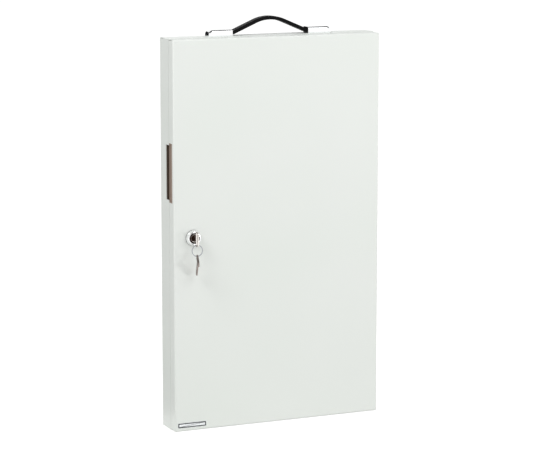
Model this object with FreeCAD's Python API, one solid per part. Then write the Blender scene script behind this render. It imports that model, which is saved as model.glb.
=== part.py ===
import FreeCAD, Part
import math
import os

# Slim wall and carry cabinet for keys, in millimetres.
# Origin: bottom centre of the closed case. +X right, +Y to the back, +Z up.

# Case and door, two folded trays that meet at a seam round the sides
CASE_WIDTH = 302.0
CASE_HEIGHT = 530.0
CASE_DEPTH = 48.0
SHEET = 1.0
BEND_INSIDE_RADIUS = 1.0
DOOR_DEPTH = 16.0
SEAM_GAP = 0.8
DOOR_END_GAP = 0.6
CORNER_SLIT = 0.9
CORNER_SLIT_BEHIND_BEND = 1.5
CASE_CORNER_WELD = 17.0

# Front frame, inside the case's front edge
FRAME_THICKNESS = 1.2
FRAME_CLEARANCE = 0.8
FRAME_OVERLAP = 4.0
FRAME_LIP = 10.0
FRAME_SETBACK = 0.8
FRAME_SEAT = 7.0

# Finger pull in the door's left edge, and the pocket in the case behind it
PULL_ABOVE_MIDDLE = 87.0
PULL_LENGTH = 80.0
PULL_FROM_FRONT = 4.9
PULL_RECESS = 2.5
PULL_WALL = 1.3
PULL_LAP = 2.6
PULL_FIT = 0.1
PULL_LIP_SETBACK = 0.3
POCKET_LENGTH = 74.0
POCKET_REACH = 10.3
POCKET_DEPTH = 12.0
POCKET_WALL = 1.2
FRAME_GAP_CLEARANCE = 1.2

# Hook rails
RAIL_COUNT = 10
HOOKS_PER_RAIL = 6
RAIL_BOTTOM = 56.0
RAIL_TOP_MARGIN = 42.0
RAIL_SIDE_GAP = 20.0
RAIL_HEIGHT = 20.0
RAIL_THICKNESS = 1.2
HOOK_SIDE_MARGIN = 18.5
HOOK_WIDTH = 6.0
HOOK_THICKNESS = 1.2
HOOK_LENGTH = 17.0
HOOK_SLOPE = 40.0
HOOK_TIP_RADIUS = 2.4
HOOK_RISE_FROM_MIDDLE = 1.5
STRIP_HEIGHT = 8.0
STRIP_THICKNESS = 0.4
STRIP_EDGE = 0.8
STRIP_END_GAP = 4.0
RIVET_RADIUS = 1.6
RIVET_CLEARANCE = 0.05
RIVET_HEAD_RADIUS = 2.6
RIVET_HEAD_HEIGHT = 0.9
RIVET_FROM_END = 6.0
RIVET_RISE = 5.0

# Wall fixing holes in the back panel
WALL_HOLE_RADIUS = 2.75
WALL_HOLE_X = 120.0

# Rubber buffers on the frame's lip
BUFFER_RADIUS = 3.5
BUFFER_FROM_END = 60.0
BUFFER_GAP = 0.3

# Hinges on the right side
HINGE_FROM_END = 90.0
HINGE_LENGTH = 50.0
HINGE_KNUCKLES = 5
KNUCKLE_RADIUS = 2.5
KNUCKLE_STANDOFF = 0.3
KNUCKLE_GAP = 0.4
LEAF_THICKNESS = 1.2
LEAF_REACH = 12.5
LEAF_GAP = 0.4
PIN_RADIUS = 1.25
PIN_CLEARANCE = 0.05
PIN_HEAD_RADIUS = 2.1
PIN_HEAD_HEIGHT = 0.9

# Strap handle on the top
CAP_GAP = 111.0
CAP_LENGTH = 34.0
CAP_WIDTH = 16.5
CAP_WALL = 1.1
CAP_END_RADIUS = 6.0
CAP_EDGE_RADIUS = 1.0
CAP_BOSS_RADIUS = 3.0
CAP_SCREW_FROM_MOUTH = 16.5
CAP_HEADROOM = 0.8
BASE_THICKNESS = 1.6
BASE_FIT = 0.1
STRAP_THICKNESS = 4.8
STRAP_SIDE_CLEARANCE = 0.65
STRAP_LIFT = 0.3
STRAP_RISE = 18.3
STRAP_BEND_FROM_MOUTH = 0.5
STRAP_END_BEND = 7.0
STRAP_CROWN_RADIUS = 52.0
STRAP_PAST_SCREW = 9.0
STRAP_TRAVEL = 3.0
STRAP_EDGE_RADIUS = 1.2
SLOT_CLEARANCE = 0.4
CORE_THICKNESS = 1.0
CORE_SIDE_COVER = 1.2
CORE_END_COVER = 2.0
SCREW_RADIUS = 1.75
SCREW_HOLE_CLEARANCE = 0.25
SCREW_THREAD_CLEARANCE = 0.05
SCREW_HEAD_RADIUS = 3.6
SCREW_HEAD_HEIGHT = 2.2
SCREW_TIP_GAP = 0.2
BACKING_THICKNESS = 1.5
BACKING_WIDTH = 12.6
BACKING_PAST_SCREW = 12.0

# Cam lock in the door
LOCK_FROM_LEFT = 27.5
BARREL_RADIUS = 9.0
BARREL_FIT = 0.1
BEZEL_RADIUS = 10.6
BEZEL_FACE_RADIUS = 9.0
BEZEL_RIM = 1.4
BEZEL_HEIGHT = 5.5
PLUG_RADIUS = 6.4
PLUG_CLEARANCE = 0.05
PLUG_RECESS = 0.6
NUT_FLATS = 24.0
NUT_THICKNESS = 3.0
CAM_THICKNESS = 2.0
CAM_CLEARANCE = 0.4
CAM_REACH = 23.0
CAM_WIDTH = 11.0
CAM_HUB_RADIUS = 7.5
CAM_SQUARE = 6.0
CAM_SQUARE_FIT = 0.1
CAM_SCREW_RADIUS = 1.5
CAM_SCREW_DEPTH = 1.2
CAM_SCREW_HEAD_RADIUS = 3.6
CAM_SCREW_HEAD_HEIGHT = 1.2
LOCK_END_PLAY = 0.3

# Keys and their ring
KEY_THICKNESS = 1.7
BOW_LENGTH = 8.5
BOW_HEIGHT = 20.0
BOW_CORNER = 4.0
BOW_RIM = 1.3
BOW_HOLE_WIDTH = 4.8
BLADE_END_WEB = 1.0
BLADE_WIDTH = 6.5
BLADE_TIP = 1.8
BIT_DEPTH = 1.2
BIT_PITCH = 2.8
BIT_COUNT = 4
KEY_SLOT_CLEARANCE = 0.15
KEY_STAND_OFF = 10.2
KEY_END_GAP = 0.4
SPARE_TWIST = 14.0
SPARE_TILT = 33.0
RING_RADIUS = 7.4
RING_WIRE_RADIUS = 0.6
RING_GAP = 0.3

# Inside the door
STIFFENER_WIDTH = 25.0
STIFFENER_FOOT = 6.0
STIFFENER_DEPTH = 6.0
STIFFENER_SHEET = 0.8
STIFFENER_FROM_RIGHT = 33.5
STIFFENER_END_GAP = 40.0
CARD_WIDTH = 180.0
CARD_HEIGHT = 270.0
CARD_THICKNESS = 0.4
CARD_FIT = 0.1
CARD_RAIL_HEIGHT = 10.0
CARD_RAIL_DEPTH = 2.2
CARD_RAIL_FACE = 1.1
CARD_GROOVE = 4.5

# Bare plate at the door's lower left corner
LABEL_WIDTH = 41.0
LABEL_HEIGHT = 7.0
LABEL_THICKNESS = 0.3
LABEL_FROM_LEFT = 4.0
LABEL_FROM_BOTTOM = 5.0
LABEL_CORNER = 1.2

# Places that follow from the sizes above
HALF_WIDTH = CASE_WIDTH / 2
BEND_RADIUS = BEND_INSIDE_RADIUS + SHEET
FRONT_Y = -CASE_DEPTH / 2
BACK_Y = CASE_DEPTH / 2
DOOR_RIM_Y = FRONT_Y + DOOR_DEPTH
CASE_RIM_Y = DOOR_RIM_Y + SEAM_GAP
DOOR_INSIDE_Y = FRONT_Y + SHEET
BACK_INSIDE_Y = BACK_Y - SHEET
LIP_FRONT_Y = DOOR_RIM_Y - FRAME_OVERLAP
LIP_BACK_Y = LIP_FRONT_Y + FRAME_THICKNESS
POCKET_END_Y = CASE_RIM_Y + POCKET_REACH
PULL_CENTRE_Z = CASE_HEIGHT / 2 + PULL_ABOVE_MIDDLE
RAIL_FACE_Y = BACK_INSIDE_Y - RAIL_THICKNESS
RAIL_PITCH = (CASE_HEIGHT - RAIL_TOP_MARGIN - RAIL_BOTTOM) / (RAIL_COUNT - 1)
RAIL_HALF_WIDTH = HALF_WIDTH - RAIL_SIDE_GAP
HINGE_X = HALF_WIDTH + KNUCKLE_RADIUS + KNUCKLE_STANDOFF
HINGE_Y = DOOR_RIM_Y + SEAM_GAP / 2
HANDLE_Y = (CASE_RIM_Y + BACK_Y) / 2
CAP_MOUTH_X = CAP_GAP / 2
CAP_END_X = CAP_MOUTH_X + CAP_LENGTH
SCREW_X = CAP_MOUTH_X + CAP_SCREW_FROM_MOUTH
BASE_TOP = CASE_HEIGHT + BASE_THICKNESS
STRAP_Z = BASE_TOP + STRAP_LIFT + STRAP_THICKNESS / 2
STRAP_WIDTH = CAP_WIDTH - 2 * CAP_WALL - 2 * STRAP_SIDE_CLEARANCE
STRAP_BEND_X = CAP_MOUTH_X - STRAP_BEND_FROM_MOUTH
CAP_ROOF_Z = STRAP_Z + STRAP_THICKNESS / 2 + CAP_HEADROOM
CAP_TOP_Z = CAP_ROOF_Z + CAP_WALL
LOCK_X = LOCK_FROM_LEFT - HALF_WIDTH
LOCK_Z = CASE_HEIGHT / 2
CAM_FRONT_Y = LIP_BACK_Y + CAM_CLEARANCE
BARREL_END_Y = CAM_FRONT_Y - LOCK_END_PLAY
KEY_END_Y = FRONT_Y - KEY_STAND_OFF - BOW_LENGTH
KEY_TIP_Y = CAM_FRONT_Y - CAM_SCREW_DEPTH - BLADE_END_WEB - KEY_END_GAP
BLADE_LENGTH = KEY_TIP_Y - KEY_END_Y - BOW_LENGTH
BOW_HOLE_HALF = BOW_HEIGHT / 2 - BOW_RIM
BOW_HOLE_MIDDLE = BOW_RIM + BOW_HOLE_WIDTH / 2
RING_Y = KEY_END_Y + BOW_HOLE_MIDDLE
RING_TOP_Z = LOCK_Z - BOW_HOLE_HALF + RING_GAP + RING_WIRE_RADIUS
RING_BOTTOM_Z = RING_TOP_Z - 2 * RING_RADIUS
BOW_HOLE_REACH = BOW_HOLE_HALF - BOW_HOLE_WIDTH / 2
SPARE_HOLE_Z = RING_BOTTOM_Z + RING_WIRE_RADIUS + RING_GAP - BOW_HOLE_WIDTH / 2

X_AXIS = FreeCAD.Vector(1, 0, 0)
Y_AXIS = FreeCAD.Vector(0, 1, 0)
Z_AXIS = FreeCAD.Vector(0, 0, 1)


def point(x, y, z):
    return FreeCAD.Vector(x, y, z)


def box(x_span, y_span, z_span):
    """A box between two values on each axis."""
    low = point(min(x_span), min(y_span), min(z_span))
    high = point(max(x_span), max(y_span), max(z_span))
    size = high.sub(low)
    return Part.makeBox(size.x, size.y, size.z, low)


def rod(radius, start, end):
    """A cylinder from one point to another."""
    run = end.sub(start)
    return Part.makeCylinder(radius, run.Length, start, run)


def around(middle, length):
    return (middle - length / 2, middle + length / 2)


def plate_from(points, thickness):
    """A flat plate: a closed outline pushed along one axis."""
    face = Part.Face(Part.makePolygon(points + [points[0]]))
    return face.extrude(thickness)


def edges_on(solid, axis, value):
    """The edges that lie in a plane across the named axis."""
    found = []
    for edge in solid.Edges:
        if all(abs(getattr(corner.Point, axis) - value) < 1e-6 for corner in edge.Vertexes):
            found.append(edge)
    return found


def edges_along(solid, axis):
    """The straight edges that run along the named axis."""
    found = []
    for edge in solid.Edges:
        if len(edge.Vertexes) == 2:
            run = edge.Vertexes[1].Point.sub(edge.Vertexes[0].Point)
            if abs(abs(getattr(run, axis)) - edge.Length) < 1e-6:
                found.append(edge)
    return found


def fused(solids):
    joined = solids[0]
    for solid in solids[1:]:
        joined = joined.fuse(solid)
    return joined.removeSplitter()


def save(shape, node):
    shape.exportStep("parts/" + node + ".step")


def folded_tray(z_span, panel_y, rim_y):
    """A tray of folded sheet: a panel with rounded bends and four flanges."""
    inward = math.copysign(1, rim_y - panel_y)
    outer = box((-HALF_WIDTH, HALF_WIDTH), (panel_y, rim_y), z_span)
    outer = outer.makeFillet(BEND_RADIUS, edges_on(outer, "y", panel_y))
    floor_y = panel_y + inward * SHEET
    inside_x = HALF_WIDTH - SHEET
    inside_z = (z_span[0] + SHEET, z_span[1] - SHEET)
    inner = box((-inside_x, inside_x), (floor_y, rim_y + inward), inside_z)
    inner = inner.makeFillet(BEND_INSIDE_RADIUS, edges_on(inner, "y", floor_y))
    return outer.cut(inner)


def corner_slits(z_span, y_span):
    """Thin cuts along the four corners, where two folded flanges meet."""
    cuts = []
    reach = 3 * SHEET
    for side in (-1, 1):
        for end, z in ((-1, z_span[0]), (1, z_span[1])):
            cut = box((-reach, reach), y_span, (-CORNER_SLIT / 2, CORNER_SLIT / 2))
            cut.rotate(point(0, 0, 0), Y_AXIS, -45 * side * end)
            cut.translate(point(side * HALF_WIDTH, 0, z))
            cuts.append(cut)
    return cuts


def handle_screw_places():
    return [point(side * SCREW_X, HANDLE_Y, 0) for side in (-1, 1)]


def wall_hole_places():
    low = RAIL_BOTTOM + RAIL_PITCH / 2
    high = RAIL_BOTTOM + RAIL_PITCH * (RAIL_COUNT - 1.5)
    return [point(side * WALL_HOLE_X, 0, z) for side in (-1, 1) for z in (low, high)]


def rail_heights():
    return [RAIL_BOTTOM + RAIL_PITCH * number for number in range(RAIL_COUNT)]


def rivet_places():
    """Rivet centres: both ends and the middle of each rail."""
    end_x = RAIL_HALF_WIDTH - RIVET_FROM_END
    places = []
    for rail_z in rail_heights():
        for x in (-end_x, 0.0, end_x):
            places.append(point(x, 0, rail_z + RIVET_RISE))
    return places


def body_shell():
    z_span = (0.0, CASE_HEIGHT)
    shell = folded_tray(z_span, BACK_Y, CASE_RIM_Y)
    slit_y = (CASE_RIM_Y + CASE_CORNER_WELD, BACK_Y - BEND_RADIUS - CORNER_SLIT_BEHIND_BEND)
    cuts = corner_slits(z_span, slit_y)
    side_x = (-HALF_WIDTH - SHEET, -HALF_WIDTH + 2 * SHEET)
    cuts.append(box(side_x, (CASE_RIM_Y - SHEET, POCKET_END_Y), around(PULL_CENTRE_Z, POCKET_LENGTH)))
    back_from = BACK_Y - 2 * SHEET
    back_to = BACK_Y + SHEET
    for place in wall_hole_places():
        start = point(place.x, back_from, place.z)
        cuts.append(rod(WALL_HOLE_RADIUS, start, point(place.x, back_to, place.z)))
    for place in rivet_places():
        start = point(place.x, back_from, place.z)
        cuts.append(rod(RIVET_RADIUS + RIVET_CLEARANCE, start, point(place.x, back_to, place.z)))
    for place in handle_screw_places():
        start = place + Z_AXIS * (CASE_HEIGHT - 2 * SHEET)
        end = place + Z_AXIS * (CASE_HEIGHT + SHEET)
        cuts.append(rod(SCREW_RADIUS + SCREW_HOLE_CLEARANCE, start, end))
    return shell.cut(cuts).Solids[0]


def hollow_ring(outside, inside, y_span):
    """A rectangular ring, from half widths and end distances (x, z)."""
    outer = box((-outside[0], outside[0]), y_span, (outside[1], CASE_HEIGHT - outside[1]))
    inner = box((-inside[0], inside[0]), y_span, (inside[1], CASE_HEIGHT - inside[1]))
    return outer.cut(inner)


def frame_steps():
    """Half widths and end distances of the frame's rings, from its seat inwards."""
    seat = (HALF_WIDTH - SHEET, SHEET)
    step = (seat[0] - FRAME_CLEARANCE, seat[1] + DOOR_END_GAP + FRAME_CLEARANCE)
    inner = (step[0] - FRAME_THICKNESS, step[1] + FRAME_THICKNESS)
    lip = (step[0] - FRAME_LIP, step[1] + FRAME_LIP)
    return seat, step, inner, lip


def finger_gap(shape):
    """Leaves out the frame's left side where the finger pull and its pocket are."""
    length = PULL_LENGTH + 2 * (PULL_LAP + FRAME_GAP_CLEARANCE)
    gap_x = (-HALF_WIDTH, -HALF_WIDTH + 2 * FRAME_LIP)
    gap_y = (LIP_FRONT_Y - FRAME_OVERLAP, CASE_RIM_Y + 2 * FRAME_SEAT)
    return shape.cut(box(gap_x, gap_y, around(PULL_CENTRE_Z, length))).Solids[0]


def front_frame():
    """Frame welded inside the case's rim: a seat and a step that the door closes over."""
    seat, step, inner, lip = frame_steps()
    seat_front = CASE_RIM_Y + FRAME_SETBACK
    seat_ring = hollow_ring(seat, inner, (seat_front, seat_front + FRAME_SEAT))
    step_ring = hollow_ring(step, inner, (LIP_BACK_Y, seat_front))
    return finger_gap(fused([seat_ring, step_ring]))


def strike_lip():
    """Flat lip welded on the frame's front edge; the lock's cam turns in behind it."""
    seat, step, inner, lip = frame_steps()
    return finger_gap(hollow_ring(step, lip, (LIP_FRONT_Y, LIP_BACK_Y)))


def finger_pocket():
    """Cup behind the side opening, open to the left and to the door."""
    wall_x = -HALF_WIDTH + SHEET
    floor_x = -HALF_WIDTH + POCKET_DEPTH
    rim_y = CASE_RIM_Y + PULL_LIP_SETBACK
    outer_z = around(PULL_CENTRE_Z, POCKET_LENGTH + 2 * POCKET_WALL)
    cup = box((wall_x, floor_x + POCKET_WALL), (rim_y, POCKET_END_Y + POCKET_WALL), outer_z)
    space_z = around(PULL_CENTRE_Z, POCKET_LENGTH)
    space = box((wall_x - SHEET, floor_x), (rim_y - SHEET, POCKET_END_Y), space_z)
    return cup.cut(space)


def hook(x, rail_z):
    """A flat tongue that slopes up from the rail's face, so that a key stays on it."""
    slope = math.radians(HOOK_SLOPE)
    root_z = rail_z + HOOK_RISE_FROM_MIDDLE
    tip_y = RAIL_FACE_Y - HOOK_LENGTH * math.cos(slope)
    tip_z = root_z + HOOK_LENGTH * math.sin(slope)
    left = x - HOOK_WIDTH / 2
    outline = [
        point(left, RAIL_FACE_Y, root_z),
        point(left, tip_y, tip_z),
        point(left, tip_y + HOOK_THICKNESS * math.sin(slope), tip_z + HOOK_THICKNESS * math.cos(slope)),
        point(left, RAIL_FACE_Y, root_z + HOOK_THICKNESS / math.cos(slope)),
    ]
    tongue = plate_from(outline, X_AXIS * HOOK_WIDTH)
    tip_edges = []
    for edge in tongue.Edges:
        corners_y = [corner.Point.y for corner in edge.Vertexes]
        if max(corners_y) < tip_y + HOOK_THICKNESS and abs(edge.Length - HOOK_THICKNESS) < 1e-6:
            tip_edges.append(edge)
    return tongue.makeFillet(HOOK_TIP_RADIUS, tip_edges)


def hook_rail(rail_z):
    """One strip with its row of hooks as separate solids."""
    strip_x = (-RAIL_HALF_WIDTH, RAIL_HALF_WIDTH)
    strip = box(strip_x, (RAIL_FACE_Y, BACK_INSIDE_Y), around(rail_z, RAIL_HEIGHT))
    for place in rivet_places():
        if abs(place.z - rail_z - RIVET_RISE) < RAIL_PITCH / 4:
            start = point(place.x, RAIL_FACE_Y - SHEET, place.z)
            end = point(place.x, BACK_Y, place.z)
            strip = strip.cut(rod(RIVET_RADIUS + RIVET_CLEARANCE, start, end))
    first = HOOK_SIDE_MARGIN - RAIL_HALF_WIDTH
    step = -2 * first / (HOOKS_PER_RAIL - 1)
    hooks = [hook(first + step * number, rail_z) for number in range(HOOKS_PER_RAIL)]
    return Part.makeCompound([strip] + hooks)


def number_strips():
    half = RAIL_HALF_WIDTH - STRIP_END_GAP
    strip_y = (RAIL_FACE_Y - STRIP_THICKNESS, RAIL_FACE_Y)
    strips = []
    for rail_z in rail_heights():
        low = rail_z - RAIL_HEIGHT / 2 + STRIP_EDGE
        strips.append(box((-half, half), strip_y, (low, low + STRIP_HEIGHT)))
    return Part.makeCompound(strips)


def rail_rivets():
    rivets = []
    for place in rivet_places():
        top = point(place.x, RAIL_FACE_Y - RIVET_HEAD_HEIGHT, place.z)
        seat = point(place.x, RAIL_FACE_Y, place.z)
        head = rod(RIVET_HEAD_RADIUS, top, seat)
        head = head.makeFillet(RIVET_HEAD_HEIGHT * 0.7, edges_on(head, "y", top.y))
        shank = rod(RIVET_RADIUS, seat, point(place.x, BACK_Y, place.z))
        rivets.append(head.fuse(shank).removeSplitter())
    return Part.makeCompound(rivets)


def door_buffers():
    x = HALF_WIDTH - SHEET - FRAME_CLEARANCE - FRAME_LIP / 2
    buffers = []
    for side in (-1, 1):
        for z in (BUFFER_FROM_END, CASE_HEIGHT - BUFFER_FROM_END):
            start = point(side * x, LIP_FRONT_Y, z)
            buffers.append(rod(BUFFER_RADIUS, start, point(side * x, DOOR_INSIDE_Y + BUFFER_GAP, z)))
    return Part.makeCompound(buffers)


def knuckle_spans(middle_z):
    """Height spans of the knuckles, from the bottom up."""
    pitch = HINGE_LENGTH / HINGE_KNUCKLES
    low = middle_z - HINGE_LENGTH / 2
    spans = []
    for number in range(HINGE_KNUCKLES):
        start = low + number * pitch
        spans.append((start + KNUCKLE_GAP / 2, start + pitch - KNUCKLE_GAP / 2))
    return spans


def hinge_leaf(middle_z, toward, spans):
    """A leaf welded to the side wall; toward is 1 for the case and -1 for the door."""
    edge_y = HINGE_Y + toward * (KNUCKLE_RADIUS + LEAF_GAP)
    end_y = HINGE_Y + toward * LEAF_REACH
    leaf_x = (HALF_WIDTH, HALF_WIDTH + LEAF_THICKNESS)
    pieces = [box(leaf_x, (edge_y, end_y), around(middle_z, HINGE_LENGTH))]
    for span in spans:
        foot = point(HINGE_X, HINGE_Y, span[0])
        head = point(HINGE_X, HINGE_Y, span[1])
        pieces.append(box(leaf_x, (HINGE_Y + toward * SEAM_GAP / 2, edge_y), span))
        pieces.append(rod(KNUCKLE_RADIUS, foot, head))
    leaf = fused(pieces)
    low = point(HINGE_X, HINGE_Y, middle_z - HINGE_LENGTH)
    high = point(HINGE_X, HINGE_Y, middle_z + HINGE_LENGTH)
    return leaf.cut(rod(PIN_RADIUS + PIN_CLEARANCE, low, high)).Solids[0]


def hinge_pin(middle_z):
    spans = knuckle_spans(middle_z)
    foot = point(HINGE_X, HINGE_Y, spans[0][0])
    seat = point(HINGE_X, HINGE_Y, spans[-1][1])
    top = seat + Z_AXIS * PIN_HEAD_HEIGHT
    head = rod(PIN_HEAD_RADIUS, seat, top)
    head = head.makeFillet(PIN_HEAD_HEIGHT / 2, edges_on(head, "z", top.z))
    return rod(PIN_RADIUS, foot, seat).fuse(head).removeSplitter()


def cap_block(end_x, z_span, half_width, end_radius):
    """A block on the right of the handle, with a round top outer corner."""
    mouth = CAP_MOUTH_X
    turn = math.sqrt(0.5)
    centre_x = end_x - end_radius
    centre_z = z_span[1] - end_radius
    y = HANDLE_Y - half_width
    corner_low = point(end_x, y, centre_z)
    corner_mid = point(centre_x + end_radius * turn, y, centre_z + end_radius * turn)
    corner_high = point(centre_x, y, z_span[1])
    outline = [
        Part.makeLine(point(mouth, y, z_span[0]), point(end_x, y, z_span[0])),
        Part.makeLine(point(end_x, y, z_span[0]), corner_low),
        Part.Arc(corner_low, corner_mid, corner_high).toShape(),
        Part.makeLine(corner_high, point(mouth, y, z_span[1])),
        Part.makeLine(point(mouth, y, z_span[1]), point(mouth, y, z_span[0])),
    ]
    return Part.Face(Part.Wire(outline)).extrude(Y_AXIS * (2 * half_width))


def handle_cap():
    """The right hand cap: a hollow shell with a tapped boss for its screw."""
    shell = cap_block(CAP_END_X, (CASE_HEIGHT, CAP_TOP_Z), CAP_WIDTH / 2, CAP_END_RADIUS)
    upper_edges = []
    for edge in shell.Edges:
        on_side = all(abs(abs(c.Point.y - HANDLE_Y) - CAP_WIDTH / 2) < 1e-6 for c in edge.Vertexes)
        level = all(abs(c.Point.y - edge.Vertexes[0].Point.y) < 1e-6 for c in edge.Vertexes)
        middle = edge.CenterOfMass
        on_bottom = middle.z < CASE_HEIGHT + 1e-6
        on_mouth = middle.x < CAP_MOUTH_X + 1e-6
        if on_side and level and not on_bottom and not on_mouth:
            upper_edges.append(edge)
    shell = shell.makeFillet(CAP_EDGE_RADIUS, upper_edges)
    inner_width = CAP_WIDTH / 2 - CAP_WALL
    inner_z = (CASE_HEIGHT, CAP_ROOF_Z)
    space = cap_block(CAP_END_X - CAP_WALL, inner_z, inner_width, CAP_END_RADIUS - CAP_WALL)
    shell = shell.cut(space)
    foot = point(SCREW_X, HANDLE_Y, BASE_TOP)
    boss = rod(CAP_BOSS_RADIUS, foot, point(SCREW_X, HANDLE_Y, CAP_ROOF_Z + CAP_WALL / 2))
    tapped = rod(SCREW_RADIUS + SCREW_THREAD_CLEARANCE, foot, point(SCREW_X, HANDLE_Y, CAP_ROOF_Z))
    return shell.fuse(boss).removeSplitter().cut(tapped).Solids[0]


def handle_base():
    """The right hand pad under the strap's end."""
    gap = CAP_WALL + BASE_FIT
    pad_x = (CAP_MOUTH_X + BASE_FIT, CAP_END_X - gap)
    pad_y = around(HANDLE_Y, CAP_WIDTH - 2 * gap)
    pad = box(pad_x, pad_y, (CASE_HEIGHT, BASE_TOP))
    foot = point(SCREW_X, HANDLE_Y, CASE_HEIGHT)
    return pad.cut(rod(SCREW_RADIUS + SCREW_HOLE_CLEARANCE, foot, foot + Z_AXIS * BASE_THICKNESS))


def mirrored(solid):
    return solid.mirror(point(0, 0, 0), X_AXIS)


def backing_plate():
    half = SCREW_X + BACKING_PAST_SCREW
    top = CASE_HEIGHT - SHEET
    plate = box((-half, half), around(HANDLE_Y, BACKING_WIDTH), (top - BACKING_THICKNESS, top))
    for place in handle_screw_places():
        foot = point(place.x, place.y, top - BACKING_THICKNESS)
        plate = plate.cut(rod(SCREW_RADIUS + SCREW_HOLE_CLEARANCE, foot, foot + Z_AXIS * BACKING_THICKNESS))
    return plate


def handle_screws():
    """Screws that come up from inside the case into the caps."""
    seat_z = CASE_HEIGHT - SHEET - BACKING_THICKNESS
    tip_z = CAP_ROOF_Z - SCREW_TIP_GAP
    screws = []
    for place in handle_screw_places():
        seat = point(place.x, place.y, seat_z)
        bottom = seat - Z_AXIS * SCREW_HEAD_HEIGHT
        head = rod(SCREW_HEAD_RADIUS, bottom, seat)
        head = head.makeFillet(SCREW_HEAD_HEIGHT / 2, edges_on(head, "z", bottom.z))
        shank = rod(SCREW_RADIUS, seat, point(place.x, place.y, tip_z))
        screws.append(head.fuse(shank).removeSplitter())
    return Part.makeCompound(screws)


def strap_turn():
    """The angle of the strap's straight stretch, where both bends meet it at a tangent."""
    bends = STRAP_END_BEND + STRAP_CROWN_RADIUS
    straight = math.sqrt(STRAP_BEND_X ** 2 + STRAP_RISE ** 2 - 2 * bends * STRAP_RISE)
    sine = (bends * STRAP_BEND_X + straight * (STRAP_RISE - bends)) / (bends ** 2 + straight ** 2)
    return math.asin(sine)


def strap_side(offset, end_x, y):
    """Edges of one face of the strap, from its right end to its left end."""
    turn = strap_turn()
    end_radius = STRAP_END_BEND - offset
    crown_radius = STRAP_CROWN_RADIUS + offset
    end_z = STRAP_Z + STRAP_END_BEND
    crown_z = STRAP_Z + STRAP_RISE - STRAP_CROWN_RADIUS

    def on_end(angle):
        return (STRAP_BEND_X - end_radius * math.sin(angle), end_z - end_radius * math.cos(angle))

    def on_crown(angle):
        return (crown_radius * math.sin(angle), crown_z + crown_radius * math.cos(angle))

    half = [(end_x, STRAP_Z + offset), on_end(0), on_end(turn / 2), on_end(turn), on_crown(turn)]
    right = [point(x, y, z) for x, z in half]
    left = [point(-x, y, z) for x, z in half]
    crown = point(0, y, crown_z + crown_radius)
    return [
        Part.makeLine(right[0], right[1]),
        Part.Arc(right[1], right[2], right[3]).toShape(),
        Part.makeLine(right[3], right[4]),
        Part.Arc(right[4], crown, left[4]).toShape(),
        Part.makeLine(left[4], left[3]),
        Part.Arc(left[3], left[2], left[1]).toShape(),
        Part.makeLine(left[1], left[0]),
    ]


def strap_band(thickness, width, end_x):
    """A flat band that follows the strap's arch."""
    y = HANDLE_Y - width / 2
    upper = strap_side(thickness / 2, end_x, y)
    lower = strap_side(-thickness / 2, end_x, y)
    low_z = STRAP_Z - thickness / 2
    high_z = STRAP_Z + thickness / 2
    ends = [Part.makeLine(point(x, y, low_z), point(x, y, high_z)) for x in (-end_x, end_x)]
    wire = Part.Wire(Part.__sortEdges__(upper + lower + ends))
    return Part.Face(wire).extrude(Y_AXIS * width)


def strap_slots():
    """Slots at both ends, which slide on the caps' bosses."""
    half_length = CAP_BOSS_RADIUS + STRAP_TRAVEL + SLOT_CLEARANCE
    radius = CAP_BOSS_RADIUS + SLOT_CLEARANCE
    slots = []
    for side in (-1, 1):
        ends = [side * SCREW_X - half_length + radius, side * SCREW_X + half_length - radius]
        low = STRAP_Z - STRAP_THICKNESS
        high = STRAP_Z + STRAP_THICKNESS
        slots.append(box(ends, around(HANDLE_Y, 2 * radius), (low, high)))
        for x in ends:
            slots.append(rod(radius, point(x, HANDLE_Y, low), point(x, HANDLE_Y, high)))
    return fused(slots)


def strap_core():
    width = STRAP_WIDTH - 2 * CORE_SIDE_COVER
    end_x = SCREW_X + STRAP_PAST_SCREW - CORE_END_COVER
    return strap_band(CORE_THICKNESS, width, end_x)


def strap_pieces():
    """The strap and its core, with the caps' bosses in the middle of the slots."""
    core = strap_core()
    strap = strap_band(STRAP_THICKNESS, STRAP_WIDTH, SCREW_X + STRAP_PAST_SCREW)
    long_edges = []
    for edge in strap.Edges:
        across = abs(edge.Vertexes[0].Point.y - edge.Vertexes[-1].Point.y) > 1e-6
        at_end = abs(abs(edge.CenterOfMass.x) - SCREW_X - STRAP_PAST_SCREW) < 1e-6
        if not across and not at_end:
            long_edges.append(edge)
    strap = strap.makeFillet(STRAP_EDGE_RADIUS, long_edges)
    slots = strap_slots()
    return [strap.cut(core).cut(slots).Solids[0], core.cut(slots).Solids[0]]


def lock_point(y):
    return point(LOCK_X, y, LOCK_Z)


def door_shell():
    z_span = (DOOR_END_GAP, CASE_HEIGHT - DOOR_END_GAP)
    shell = folded_tray(z_span, FRONT_Y, DOOR_RIM_Y)
    slit_y = (FRONT_Y + BEND_RADIUS + CORNER_SLIT_BEHIND_BEND, DOOR_RIM_Y + SHEET)
    cuts = corner_slits(z_span, slit_y)
    side_x = (-HALF_WIDTH - SHEET, -HALF_WIDTH + 2 * SHEET)
    pull_y = (FRONT_Y + PULL_FROM_FRONT, DOOR_RIM_Y + SHEET)
    cuts.append(box(side_x, pull_y, around(PULL_CENTRE_Z, PULL_LENGTH)))
    cuts.append(rod(BARREL_RADIUS + BARREL_FIT, lock_point(FRONT_Y - SHEET), lock_point(FRONT_Y + 2 * SHEET)))
    return shell.cut(cuts).Solids[0]


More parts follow.
